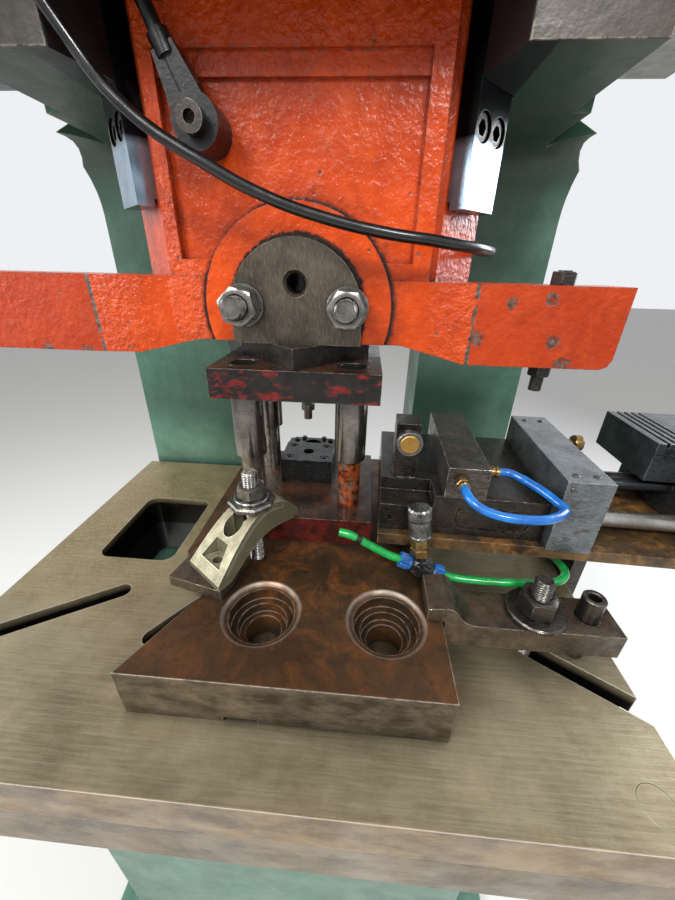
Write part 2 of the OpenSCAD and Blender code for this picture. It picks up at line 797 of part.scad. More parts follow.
motor_x0 = -250;
belt_half = -belt_x + motor_x0 + 60;
module motor() {
    color("#4f6f62") translate([motor_x0, motor_y, crank_z]) rotate([0, 90, 0]) difference() {
        union() {
            cylinder(d = motor_d, h = motor_len);
            cylinder(d = motor_d + 30, h = 14);
            for (a = [0:15:345]) rotate([0, 0, a]) translate([motor_d / 2 - 4, -1.5, 24])
                cube([14, 3, motor_len - 70]);
            translate([0, 0, motor_len - 40]) cylinder(d = motor_d + 24, h = 60);
        }
        translate([0, 0, motor_len + 4]) for (r = [30:20:90]) washer(2 * r + 8, 2 * r, 20);
    }
    color("#4f6f62") for (x = [motor_x0 + 40, motor_x0 + motor_len - 90])
        translate([x, motor_y - 60, crank_z - motor_d / 2 - 15]) cube([40, 120, 20]);
    color(steel) translate([motor_x0, motor_y, crank_z])
        translate([-(belt_half + 10) / 2, 0, 0]) rod_x(28, belt_half + 10);
}

module motor_bracket() {
    y0 = frame_back;
    z = crank_z - motor_d / 2 - 15;
    color(paint_green) {
        translate([motor_x0 + 20, y0, z - 14]) cube([motor_len - 60, motor_y + 90 - y0, 14]);
        translate([motor_x0 + 20, y0, z - 160]) cube([motor_len - 60, 14, 160]);
        for (x = [motor_x0 + 20, motor_x0 + motor_len - 52]) translate([x, y0 + 13, z - 14])
            rotate([90, 0, 90]) linear_extrude(12) polygon([[0, 1], [180, 1], [0, -140]]);
    }
}

drum_x = boss_out + 12;
drum_w = 40;
drum_d = 240;
module brake_band() {
    color(dark_steel) translate([drum_x + drum_w / 2, 0, crank_z]) difference() {
        union() {
            rod_x(drum_d + 24, drum_w - 8);
            translate([-(drum_w - 8) / 2, drum_d / 2 - 6, -22]) cube([drum_w - 8, 60, 44]);
        }
        rod_x(drum_d + 2 * free_gap + 4, drum_w + 2);
        translate([-drum_w, drum_d / 2 - 10, -6]) cube([2 * drum_w, 80, 12]);
    }
    color(dark_steel) translate([drum_x + drum_w / 2, drum_d / 2 + 34, crank_z - 60])
        cylinder(d = 14, h = 130);
    color(dark_steel) translate([head_half + 16, drum_d / 2 + 24, crank_z - 60])
        cube([drum_x + drum_w / 2 - head_half - 10, 20, 20]);
}

box_x = head_half;
box_z = head_z + 22;
module control_box() {
    color("#b8bab6") difference() {
        translate([box_x, -head_front + 10, box_z]) cube([70, 110, 190]);
        for (z = button_zs) translate([box_x + 35, -head_front + 9, z]) rod_y(24.6, 40);
    }
}
button_zs = [box_z + 60, box_z + 130];
module push_button(z, head_d, head_t) {
    translate([box_x + 35, -head_front - 4, z]) {
        rod_y(24, 30);
        translate([0, -head_t, 0]) rod_y(head_d, head_t + 2);
    }
}
module start_button() { color("#2f8a4a") push_button(button_zs[1], 30, 4); }
module stop_button() { color("#c22a20") push_button(button_zs[0], 42, 12); }

/* The oil pump hangs behind the front cover and is worked by the link on the ram */
lever_y = link_y - 16;
lever_t = 8;
module oil_pump() {
    y0 = -head_front - cover_deep + 3;
    deep = lever_y - 3 - y0;
    color("#8a8f92") {
        difference() {
            translate([pump_x - 20, y0, pump_z - 25]) cube([64, deep, 75]);
            translate([pump_x, y0 + 10, pump_z]) rod_y(14 + 2 * run_fit, deep);
        }
        translate([pump_x + 20, y0 + deep / 2, pump_z + 50 - over]) cylinder(d = 20, h = 30);
    }
}

module pump_lever() {
    color(dark_steel) translate([pump_x, lever_y, pump_z]) rotate([0, lever_tilt, 0]) difference() {
        union() {
            translate([0, -20, 0]) rod_y(14, 22);
            translate([0, -2, 0]) rod_y(28, lever_t + 2);
            translate([-lever_len - 2, 0, -8]) cube([lever_len + 2, lever_t, 16]);
            translate([-lever_len - 2, 0, 0]) rod_y(22, lever_t);
        }
        for (x = [-lever_len - 4, -lever_len + 2]) translate([x, -1, 0]) rod_y(9, lever_t + 2);
        translate([-lever_len - 4, -1, -4.5]) cube([6, lever_t + 2, 9]);
    }
}

// Everything of the feeder stands in this turned frame
module on_feeder() {
    translate([feeder_x, feeder_y, 0]) rotate([0, 0, feeder_turn]) children();
}

module feeder_plate() {
    color(brown_steel) on_feeder() difference() {
        translate([-18, 0, feeder_plate_z]) cube([feeder_plate_len, feeder_plate_deep, feeder_plate_t]);
        for (x = [350, 390]) translate([x, 20, feeder_plate_z - over])
            cylinder(d = 11, h = feeder_plate_t + 2 * over);
    }
}

module feeder_bracket() {
    x0 = bolster_w / 2;
    h = feeder_plate_z - bed_bottom;
    color(dark_steel) {
        translate([x0, -65, bed_bottom]) cube([14, 70, h]);
        translate([x0 + 13, -65, feeder_plate_z - 14]) cube([60, 70, 14]);
        translate([x0 + 13, -36, feeder_plate_z - 70]) rotate([90, 0, 0]) linear_extrude(12)
            polygon([[0, 0], [0, 57], [56, 57]]);
        on_feeder() translate([4, 30, riser_top]) cube([30, 110, feeder_plate_z - riser_top]);
    }
}

module feeder_body() {
    color(dark_steel) on_feeder() difference() {
        translate([-18, 8, feeder_z]) cube([end_block_x + 18, 147, feeder_body_h]);
        translate([-19, 7, feeder_z + 30]) cube([52, 30, 40]);
        translate([0, 10, 0]) rotate([90, 0, 0]) linear_extrude(4) difference() {
            feeder_groove(0);
            feeder_groove(2.5);
        }
        for (x = [-8, 26]) translate([x, 7, feeder_z + 15]) rod_y(7, 14);
        translate([168 - feed_travel - 8, 79, rod_z + 18]) rotate([0, 90, 0])
            cylinder(d = 12 + 2 * run_fit, h = 60);
        for (y = [rod_front_y, rod_back_y]) translate([0, y, rod_z])
            rotate([0, 90, 0]) translate([0, 0, 40]) cylinder(d = guide_rod_d + 2 * seat_fit, h = 200);
    }
    color(steel) on_feeder() {
        translate([-7, 39, feeder_z + feeder_body_h]) cube([24, 26, 34]);
        translate([5, 52, feeder_z + feeder_body_h + 33]) difference() {
            translate([-12, -14, 0]) cube([24, 28, 26]);
            translate([0, -16, 14]) rod_y(12 + 2 * run_fit, 24);
        }
    }
}

// Rounded outline on the front of the feeder's body, drawn in by an amount
module feeder_groove(inset) {
    r = 9 - inset;
    polygon(concat(
        arc(64, feeder_z + 8 + 9, r, 180, 270, 5), arc(116, feeder_z + 8 + 9, r, 270, 360, 5),
        arc(116, feeder_z + 16 + 9, r, 0, 90, 5), arc(64, feeder_z + 16 + 9, r, 90, 180, 5)));
}

module feed_valve_knob() {
    color(bronze) on_feeder() translate([5, 52, feeder_z + feeder_body_h + 47]) {
        translate([0, -30, 0]) rod_y(12, 22);
        translate([0, -36, 0]) rod_y(24, 9);
    }
}

module feeder_clamp_block() {
    z0 = feeder_z + feeder_body_h;
    color(dark_steel) on_feeder() difference() {
        translate([41, 6, z0]) cube([38, 144, feeder_block_top - z0]);
        translate([78, 30, z0 + 18]) rod_x(8.2, 20);
        translate([54, 5, z0 + 20]) rod_y(8.2, 10);
    }
}

module feeder_end_block() {
    color(dark_steel) on_feeder() difference() {
        translate([end_block_x, -4, feeder_z]) cube([end_block_w, 159, feeder_block_h]);
        for (y = [rod_front_y, rod_back_y]) translate([end_block_x + end_block_w / 2, y, rod_z])
            rod_x(guide_rod_d + 2 * seat_fit, end_block_w + 2 * over);
        translate([end_block_x + end_block_w / 2, 79, rod_z + 18]) rod_x(12 + 2 * run_fit, end_block_w + 2 * over);
    }
}

module guide_rods() {
    color(steel) on_feeder() for (y = [rod_front_y, rod_back_y])
        translate([60, y, rod_z]) rotate([0, 90, 0]) cylinder(d = guide_rod_d, h = 345);
}

module feeder_carriage() {
    color(dark_steel) on_feeder() difference() {
        union() {
            translate([carriage_x + 40, 12, feeder_z + 2]) cube([46, 146, 86]);
            translate([carriage_x, 64, feeder_z + 46]) cube([41, 94, 42]);
        }
        for (y = [rod_front_y, rod_back_y]) translate([carriage_x + 60, y, rod_z])
            rod_x(guide_rod_d + 2 * run_fit, 80);
        for (i = [0:3]) translate([carriage_x + 8 + i * 8, 60, feeder_z + 84]) cube([3, 100, 8]);
    }
    color(steel) on_feeder() translate([170, 79, rod_z + 18]) rotate([0, 90, 0])
        cylinder(d = 12, h = carriage_x + 41 - 170);
}

/* Air tee, coupler and push-in fittings */
tee_x = 131.8;
tee_y = -125;
tee_z = feeder_z - 25.8;
tee_dip = 19.5;
module tube_fittings() {
    hose_ends();
    color(black) translate([tee_x, tee_y, tee_z]) {
        translate([0, -5.5, 0]) rotate([-90, 22.5, 0]) cylinder(d = 24, h = 16.5, $fn = 8);
        rotate([0, tee_dip, 0]) rod_x(13, 44);
        rotate([-6, -7, 0]) {
            cylinder(d = 13, h = 16);
            translate([0, 0, 14]) hexagon(17, 21);
            translate([0, 0, 34]) cylinder(d = 22, h = 32);
        }
        translate([-6.3, 5.4, 51.3]) rod_y(10, 15.6);
    }
    color(black) translate(green_end) rotate([0, 90, 0]) cylinder(d = 12, h = bolster_w / 2 - green_end[0]);
    color(bronze) on_feeder() {
        translate([54, -8, feeder_z + feeder_body_h + 20]) rod_y(8, 16);
        translate([54, -8, feeder_z + feeder_body_h + 20]) rod_y(12, 13.9);
        translate([86, 30, feeder_z + feeder_body_h + 18]) rod_x(8, 16);
        translate([86.1, 30, feeder_z + feeder_body_h + 18]) rod_x(12, 14);
    }
}

hose_top = [-172, -96, ram_face + 330];
hose_end = [172, column_front - 12, ram_face + 112];
module hose_ends() {
    color(steel) {
        translate(hose_top) cylinder(d = 16, h = 26);
        translate(hose_top + [-10, 0, 6]) cube([20, 16, 14]);
        translate(hose_end) rod_y(16, 12);
    }
}

// Route of the hose from the clip on the left cheek, across the ram, to the right column
hose_path = [hose_top, [-172, -96, 1392], [-170, -96, 1367], [-166, -95, 1342], [-160, -91, 1319],
    [-151, -85, 1299], [-140, -80, 1280], [-127, -77.5, 1261.5], [-112, -77, 1247],
    [-95, -77, 1234.5], [-77, -77, 1224.5], [-58, -77, 1215], [-38, -76, 1205],
    [-17, -74.5, 1196.5], [4, -73, 1189.5], [25, -72, 1184], [47, -71.5, 1179], [69, -71, 1175],
    [90, -70, 1172], [110, -67, 1170], [128, -61, 1168], [144, -53, 1166.5], [158, -42, 1165.5],
    [169, -27, 1165], [177, -8, 1165], [180, 15, 1165.5], [180, 40, 1167], [179, 65, 1170],
    [177, 90, 1175], [175, 115, 1182.5], [173, 137, 1190], [172, 154, 1194], hose_end];
module black_hose() { color(black) swept_tube(hose_path, hose_d); }

// Route of the blue loop between the two fittings of the clamp block
function on_feeder_point(p) = [feeder_x, feeder_y, 0]
    + [p[0] * cos(feeder_turn) - p[1] * sin(feeder_turn), p[0] * sin(feeder_turn) + p[1] * cos(feeder_turn), p[2]];
blue_local = [[54, -8, 0], [54, -16, 0], [57, -24, -2], [64, -30, -5], [74, -34, -7],
    [86, -36, -8], [99, -36, -8.5], [112, -34, -9], [123, -29.5, -9.5], [132, -23, -9.5],
    [138, -14.5, -9], [134.5, -5, -8], [129, 5, -6.5], [121.5, 15, -5], [112, 25, -3.5],
    [103, 30, -2], [94, 30, -2]];
blue_z = feeder_z + feeder_body_h + 20;
blue_path = [for (p = blue_local) on_feeder_point(p + [0, 0, blue_z])];
module blue_tube() { color("#1d7fd0") swept_tube(blue_path, tube_d); }

tee_arm = [cos(tee_dip), 0, -sin(tee_dip)];
tee_right = [tee_x, tee_y, tee_z] + 22 * tee_arm;
tee_left = [tee_x, tee_y, tee_z] - 22 * tee_arm;
green_end = [305, -51, feeder_z - 47];
// The routes' heights are counted from the feeder plate's top
green_local = [[172, -126, -37.2], [186, -127, -37], [202, -127.5, -36.8], [218, -128, -36.2],
    [234, -128, -35.2], [250, -127.5, -34], [263, -125.5, -33], [273, -119, -33],
    [279, -109, -34.5], [282, -96, -37.5], [283.5, -82, -42], [284, -69, -45.5],
    [285.2, -61, -46.8], [288.7, -55.7, -47], [293.9, -52.2, -47], [299, -51, -47]];
green_path = concat([tee_right, tee_right + 8 * tee_arm], [for (p = green_local) p + [0, 0, feeder_z]],
    [green_end]);
module green_tube() { color("#1fb35a") swept_tube(green_path, tube_d); }
stub_local = [[98, -125, -13.3], [88.5, -125, -8.2], [79, -124.8, -2.8], [69, -124.5, 3],
    [59.5, -124.2, 7.3], [50, -124, 9.3]];
stub_path = concat([tee_left, tee_left - 4 * tee_arm], [for (p = stub_local) p + [0, 0, feeder_z]]);
module green_stub() { color("#1fb35a") swept_tube(stub_path, tube_d); }

module crankshaft() {
    color(steel) translate([0, 0, crank_z]) {
        both_sides() {
            translate([(web_out + boss_out) / 2 - 1, 0, 0]) rod_x(journal_d, boss_out - web_out + 2);
            translate([(rod_w / 2 + web_out) / 2 + 1, 0, 0])
                rod_x(pin_d + stroke + 2, web_out - rod_w / 2 - 2);
        }
        translate([0, 0, throw]) rod_x(pin_d, rod_w + 12);
        translate([-(boss_out + wheel_w + wheel_in) / 2, 0, 0]) rod_x(70, wheel_w + wheel_in - boss_out + 20);
        translate([drum_x + drum_w / 2, 0, 0]) rod_x(drum_d, drum_w);
        translate([boss_out + 8, 0, 0]) rod_x(70, 20);
    }
}

// Big end of the rod, split on the level of the crank pin
module rod_half(up) {
    intersection() {
        difference() {
            union() {
                rod_x(pin_d + 50, rod_w);
                translate([-rod_w / 2, -(pin_d / 2 + 34), -24]) cube([rod_w, pin_d + 68, 48]);
                if (!up) translate([0, 0, -190]) cylinder(d1 = 64, d2 = 80, h = 150);
            }
            rod_x(pin_d + 2 * run_fit, rod_w + 2 * over);
            rod_bolt_places() {
                translate([0, 0, -60]) cylinder(d = 14.4, h = 120);
                translate([0, 0, 24]) cylinder(d = 27, h = 40);
                translate([0, 0, -64]) cylinder(d = 27, h = 40);
            }
            if (!up) translate([0, 0, -rod_len]) cylinder(d = screw_d + 2 * seat_fit, h = rod_len - pin_d / 2 - 20);
        }
        translate([-200, -200, up ? 0.15 : -400 - 0.15]) cube([400, 400, 400]);
    }
}
module rod_bolt_places() {
    for (x = [-1, 1], y = [-1, 1]) translate([x * (rod_w / 2 - 14), y * (pin_d / 2 + 20), 0]) children();
}
module at_pin() { translate([0, 0, crank_z + throw]) children(); }
module connecting_rod() { color(steel) at_pin() rod_half(false); }
module rod_cap() { color(steel) at_pin() rod_half(true); }
module rod_bolts() {
    color(dark_steel) at_pin() rod_bolt_places() {
        translate([0, 0, -36]) cylinder(d = 14, h = 60 + over);
        translate([0, 0, 24]) nut(21, 9, 0.01);
        translate([0, 0, -37]) nut(21, 12.9, 14.1);
    }
}

module ball_screw() {
    color(steel) translate([0, 0, ball_z]) {
        sphere(d = ball_d);
        cylinder(d = screw_d - 10, h = 40);
        translate([0, 0, 34]) hexagon(46, 20);
        translate([0, 0, 53]) cylinder(d = screw_d, h = rod_len - pin_d / 2 - 78);
    }
}

module ball_cup() {
    color(bronze) translate([0, 0, ball_z]) difference() {
        translate([0, 0, -ball_d / 2 - 8]) cylinder(d = cup_d, h = ball_d / 2 + 8 - 0.3);
        sphere(d = ball_d + 0.1);
    }
}

module ball_retainer() {
    color(dark_steel) translate([0, 0, ball_z]) difference() {
        cylinder(d = cup_d, h = 20);
        sphere(d = ball_d + 0.1);
        cylinder(d = ball_d - 14, h = 30);
    }
}

module flywheel() {
    r = wheel_d / 2;
    color(dark_steel) translate([-wheel_in - wheel_w / 2, 0, crank_z]) difference() {
        rotate([0, 90, 0]) rotate_extrude($fn = 96) polygon([
            [35 + run_fit, -wheel_w / 2 - 6], [64, -wheel_w / 2 - 6], [68, -14], [r - 42, -14],
            [r - 38, -wheel_w / 2], [r, -wheel_w / 2],
            [r, -36], [r - 9, -32], [r - 9, -26], [r, -22], [r, -14], [r - 9, -10], [r - 9, -4], [r, 0],
            [r, 8], [r - 9, 12], [r - 9, 18], [r, 22],
            [r, wheel_w / 2], [r - 38, wheel_w / 2], [r - 42, 14], [68, 14],
            [64, wheel_w / 2 + 6], [35 + run_fit, wheel_w / 2 + 6]]);
        for (a = [0:60:300]) rotate([a, 0, 0]) translate([0, 0, (r + 30) / 2]) rod_x(96, 60);
    }
}

module motor_pulley() {
    r = pulley_d / 2;
    color(steel) translate([belt_x, motor_y, crank_z]) rotate([0, 90, 0]) rotate_extrude() polygon([
        [14 + run_fit, -44], [r, -44], [r, -36], [r - 9, -32], [r - 9, -26], [r, -22], [r, -14],
        [r - 9, -10], [r - 9, -4], [r, 0], [r, 8], [r - 9, 12], [r - 9, 18], [r, 22], [r, 30],
        [14 + run_fit, 30]]);
}

module v_belts() {
    lean = asin((wheel_d - pulley_d) / 2 / motor_y);
    color(black) for (x = [-29, -7, 15]) translate([belt_x + x - 2.5, 0, crank_z]) rotate([90, 0, 90])
        linear_extrude(5) difference() {
            polygon(belt_loop(-1.5, lean));
            polygon(belt_loop(-8, lean));
        }
}
function belt_loop(grow, lean) = concat(
    arc(0, 0, wheel_d / 2 + grow, 90 - lean, 270 + lean, 36),
    arc(motor_y, 0, pulley_d / 2 + grow, -90 + lean, 90 - lean, 14));

module arm_outline(sx, reach) {
    kink = sx > 0 ? 162 : 196;
    polygon([[sx * 60, -20], [sx * 60, -boss_front + 2], [sx * 92, -boss_front + 2],
        [sx * kink, -arm_front], [sx * reach, -arm_front], [sx * reach, -arm_front + arm_deep],
        [sx * 110, -arm_front + arm_deep + 8], [sx * 60, -arm_front + arm_deep + 8]]);
}

module arm_side(sx, reach) {
    low = ram_face - 14;
    polygon([[sx * 60, ram_face], [sx * 60, arm_top], [sx * reach, arm_top], [sx * reach, low + 10],
        [sx * (reach - 3), low + 3], [sx * (reach - 10), low], [sx * 160, low], [sx * 100, ram_face]]);
}

module arm(sx, reach) {
    intersection() {
        translate([0, 0, ram_face - 40]) linear_extrude(120) arm_outline(sx, reach);
        translate([0, 60, 0]) rotate([90, 0, 0]) linear_extrude(160) arm_side(sx, reach);
    }
}

module ram() {
    low_half = 100;
    chin = 42;
    color(paint_red) difference() {
        union() {
            translate([-low_half, -ram_front, ram_face]) cube([2 * low_half, ram_front + ram_back, ram_h]);
            translate([0, 0, vee_z]) linear_extrude(ram_h - vee_lift) polygon([
                [-ram_half, -ram_front], [ram_half, -ram_front], [ram_half, flank_front - 2],
                [flank_x, flank_front], [vee_half, apex_y], [flank_x, flank_back], [ram_half, flank_back],
                [ram_half, ram_back], [-ram_half, ram_back], [-ram_half, flank_back],
                [-flank_x, flank_back], [-vee_half, apex_y], [-flank_x, flank_front],
                [-ram_half, flank_front - 2]]);
            // Thicker head of the ram round the ball
            translate([ram_half, 0, 0]) rotate([90, 0, -90]) linear_extrude(2 * ram_half)
                polygon([[ram_front - 1, ram_face + 278], [41, ram_face + 294], [41, ram_face + ram_h],
                    [ram_front - 1, ram_face + ram_h]]);
            intersection() {
                translate([0, -boss_front, cap_z]) rod_y(2 * boss_r, 40);
                translate([-boss_r, -boss_front, ram_face]) cube([2 * boss_r, 50, 2 * boss_r]);
            }
            arm(1, arm_right);
            arm(-1, arm_left);
        }
        // Recessed front panel with its two steps, round the boss
        difference() {
            union() {
                translate([-108, -ram_front - over, arm_top + 14]) cube([212, panel_deep + over, 126]);
                translate([-108, -ram_front - over, arm_top + 40]) cube([212, 5, 115]);
            }
            translate([0, -ram_front - 5, cap_z]) rod_y(2 * boss_r, 40);
        }
        // Half-round seat and bore of the shank clamp
        intersection() {
            translate([0, -boss_front - 20, cap_z]) rod_y(2 * cap_r + 1, boss_front + 20);
            translate([-cap_r - 1, -boss_front - 20, ram_face - over])
                cube([2 * cap_r + 2, boss_front + 20, 2 * cap_r]);
        }
        translate([-cap_r - 0.5, -boss_front - 20, ram_face - over])
            cube([2 * cap_r + 1, boss_front + 20, cap_z - ram_face + over]);
        translate([0, 0, ram_face - over]) cylinder(d = shank_d + 2 * seat_fit, h = 82);
        both_sides() translate([cap_stud_x, -1, cap_stud_z]) rod_y(cap_stud_d + 2 * seat_fit, 36);
        // Pocket for the ball and its cup
        translate([-cup_d / 2 - 2, -cup_d / 2 - 1, ball_z - ball_d / 2 - 8 - 6])
            cube([cup_d + 4, cup_d + 3 + throw, 200]);
        translate([striker_x, striker_y, ram_face - 40]) cylinder(d = 13, h = 120);
        translate([link_x, -ram_front - 2, link_z]) rod_y(12 + 2 * seat_fit, 30);
    }
}

module shank_clamp_cap() {
    color("#6e675c") difference() {
        union() {
            intersection() {
                translate([0, -cap_front, cap_z]) rod_y(2 * cap_r, cap_front - 1);
                translate([-cap_r, -cap_front, ram_face]) cube([2 * cap_r, cap_front - 1, 2 * cap_r]);
            }
            translate([-cap_r, -cap_front, ram_face]) cube([2 * cap_r, cap_front - 1, cap_z - ram_face]);
        }
        translate([0, 0, ram_face - over]) cylinder(d = shank_d + 2 * seat_fit, h = 82);
        both_sides() translate([cap_stud_x, -cap_front - over, cap_stud_z]) rod_y(cap_stud_d + 1, 60);
        translate([0, -cap_front - over, ram_face + 53]) rod_y(18, 40);
        translate([0, -cap_front - 0.01, ram_face + 53]) rotate([-90, 0, 0])
            cylinder(d1 = 23, d2 = 18, h = 3);
    }
}

module clamp_fasteners() {
    front = cap_front + 5 + 20 + 13;
    color(steel) both_sides() translate([cap_stud_x, 0, cap_stud_z]) {
        translate([0, -front, 0]) rod_y(cap_stud_d, front + 30);
        translate([0, -cap_front, 0]) rotate([90, 0, 0]) washer(38, cap_stud_d + 0.6, 5);
        translate([0, -cap_front - 5, 0]) rotate([90, 0, 0]) rotate([0, 0, 12]) nut(30, 20, cap_stud_d + 0.2);
    }
}

striker_x = 239;
striker_y = -28;
module ram_bolts() {
    low = ram_face - 14;
    color(dark_steel) {
        translate([striker_x, striker_y, low - 26]) cylinder(d = 12, h = arm_top - low + 38);
        translate([striker_x, striker_y, low - 11]) nut(19, 11, 12.2);
        translate([striker_x, striker_y, arm_top]) nut(19, 11, 12.2);
        translate([link_x, link_y - 8, link_z]) rod_y(12, 50);
        translate([link_x, link_y - 16, link_z]) difference() {
            rod_y(20, 10);
            translate([0, -over, 0]) rod_y(9, 8);
        }
    }
}

// The eye reaches back to the recessed panel of the ram
panel_deep = 8;
module link_rod() {
    tilt = atan((link_x - link_top_x) / (link_top_z - link_z));
    len = norm([link_x - link_top_x, link_top_z - link_z]);
    color(black) {
        translate([link_x, link_y, link_z]) difference() {
            union() {
                translate([0, -6, 0]) rod_y(36, link_eye_back);
                rotate([0, -tilt, 0]) cylinder(d = 11, h = len - 9);
                translate([0, 14, 0]) rotate([0, -tilt, 0]) rotate([90, 0, 0]) linear_extrude(19)
                    polygon([[-15, 0], [15, 0], [8.5, 46], [-8.5, 46]]);
                rotate([0, -tilt, 0]) translate([0, 0, 40]) cylinder(d = 16, h = 14);
            }
            translate([0, -7, 0]) rod_y(12 + 2 * seat_fit, 40);
        }
        translate([link_top_x, link_y - 5, link_top_z]) {
            rod_y(18, 10);
            translate([0, lever_y - link_y + 4, 0]) rod_y(8, 13);
        }
    }
}
link_eye_back = -ram_front + panel_deep - link_y + 6 - 0.05;

module shank_plate() {
    color(black) {
        translate([0, 0, plate_z]) rotate([0, 0, 45])
            translate([-plate_side / 2, -plate_side / 2, 0]) cube([plate_side, plate_side, plate_t]);
        translate([0, 0, ram_face - over]) cylinder(d = shank_d, h = 74);
    }
}

module upper_shoe() {
    color(black) difference() {
        translate([-shoe_w / 2, -upper_shoe_deep / 2, upper_shoe_z])
            cube([shoe_w, upper_shoe_deep, upper_shoe_t]);
        post_places() translate([0, 0, upper_shoe_z - over])
            cylinder(d = bushing_d + 2 * seat_fit, h = upper_shoe_t + 2 * over);
    }
}

module guide_bushings() {
    color(steel) post_places() translate([0, 0, plate_z - bushing_len]) difference() {
        cylinder(d = bushing_d, h = bushing_len);
        translate([0, 0, -over]) cylinder(d = post_d + 2 * run_fit, h = bushing_len + 2 * over);
    }
}

module punch() {
    color(steel) translate([0, 20, 0]) {
        translate([-20, -16, upper_shoe_z - 14]) cube([40, 32, 14]);
        translate([0, 0, upper_shoe_z - 52]) cylinder(d = 10, h = 40);
        translate([0, 0, upper_shoe_z - 40]) cylinder(d = 16, h = 8);
    }
}

base_plate();
frame();
frame_bolts();
bolster_plate();
riser_plate();
lower_shoe();
guide_posts();
die_block();
die_plate();
arch_clamp();
arch_clamp_fasteners();
packing_block();
finger_clamp();
finger_clamp_fasteners();
gib_left();
gib_right();
gib_screws();
crank_bushes();
front_cover();
flywheel_guard();
motor();
motor_bracket();
brake_band();
control_box();
oil_pump();
feeder_plate();
feeder_bracket();
feeder_body();
feeder_clamp_block();
feeder_end_block();
guide_rods();
tube_fittings();
black_hose();
blue_tube();
green_tube();
green_stub();
crankshaft();
connecting_rod();
rod_cap();
rod_bolts();
ball_screw();
ball_cup();
ball_retainer();
flywheel();
motor_pulley();
v_belts();
ram();
shank_clamp_cap();
clamp_fasteners();
ram_bolts();
shank_plate();
upper_shoe();
guide_bushings();
punch();
link_rod();
pump_lever();
feeder_carriage();
feed_valve_knob();
start_button();
stop_button();
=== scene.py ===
# %% [markdown]
# # Dressing a stamping press
# The press comes to Blender ready made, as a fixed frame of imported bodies. This lesson gives every
# piece its edges, its finish and its small parts, and never moves or resizes what the frame fixes.
# The camera stands where the photographer stood: close in front of the ram, with a very wide lens.

# %% Load the press
import json
import math

import bmesh
import bpy
from mathutils import Matrix, Vector


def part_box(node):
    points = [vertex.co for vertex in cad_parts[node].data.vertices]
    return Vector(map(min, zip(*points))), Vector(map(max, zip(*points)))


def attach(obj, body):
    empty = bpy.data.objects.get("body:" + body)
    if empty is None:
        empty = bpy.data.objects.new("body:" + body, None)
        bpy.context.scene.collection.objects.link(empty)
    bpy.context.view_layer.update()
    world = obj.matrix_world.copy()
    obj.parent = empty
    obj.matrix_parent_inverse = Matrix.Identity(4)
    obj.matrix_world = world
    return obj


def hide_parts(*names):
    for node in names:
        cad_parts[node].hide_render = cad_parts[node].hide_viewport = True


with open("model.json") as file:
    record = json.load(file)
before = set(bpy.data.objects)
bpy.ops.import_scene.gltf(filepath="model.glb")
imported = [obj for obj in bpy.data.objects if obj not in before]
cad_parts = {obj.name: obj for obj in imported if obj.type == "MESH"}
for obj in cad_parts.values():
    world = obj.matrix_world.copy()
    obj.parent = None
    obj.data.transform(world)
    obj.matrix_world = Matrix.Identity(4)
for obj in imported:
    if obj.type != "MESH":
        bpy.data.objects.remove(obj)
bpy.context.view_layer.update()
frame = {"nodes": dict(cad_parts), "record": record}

record = frame["record"]
body_of = {node: body for body, nodes in record["behaviour"]["bodies"].items() for node in nodes}
slot_of = {row["node"]: row["material_slot"] for row in record["subparts"]}

# %% [markdown]
# ## Millimetres
# A machine is drawn in millimetres and Blender works in metres. One small helper turns a drawing's
# point into a Blender point, so that every later number reads like a number on a drawing.

# %% Millimetre helpers
MM = 0.001


def at(x, y, z):
    """A point given in millimetres, in metres."""
    return Vector((x, y, z)) * MM


# %% [markdown]
# ## Camera
# The picture is taken from less than half a metre away with a phone's widest lens. Place, lens and
# the three angles were fitted together with the sizes of the press, so that some forty corners
# fall on their places in the picture. The camera leans a little to one side, as a hand held one
# does. A wide lens close up is what makes the near plate look so large.

# %% Camera
CAMERA_PLACE = at(64.9, -402.7, 1149.4)
YAW, PITCH, ROLL = (math.radians(angle) for angle in (3.73, 26.55, 1.36))
LENS, SENSOR = 14.656, 36.0

eye = bpy.data.cameras.new("photographer")
eye.lens = LENS
eye.sensor_fit = "AUTO"
eye.sensor_width = SENSOR
eye.clip_start = 0.01
camera = bpy.data.objects.new("photographer", eye)
aim = (Matrix.Rotation(YAW, 4, "Z") @ Matrix.Rotation(math.radians(90) - PITCH, 4, "X")
       @ Matrix.Rotation(ROLL, 4, "Z"))
camera.matrix_world = Matrix.Translation(CAMERA_PLACE) @ aim
bpy.context.scene.collection.objects.link(camera)
bpy.context.scene.camera = camera
print("camera at", tuple(round(c, 3) for c in CAMERA_PLACE))

# %% [markdown]
# ## Standing in for a solid
# The frame holds every piece as a plain solid. A dressed piece hides the solid it stands for
# and moves with that solid's body.

# %% Hand-over helpers
def rides(piece, node):
    """The piece moves with a node's body."""
    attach(piece, body_of[node])


def take_place(piece, node):
    """The piece stands for a node."""
    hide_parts(node)
    rides(piece, node)
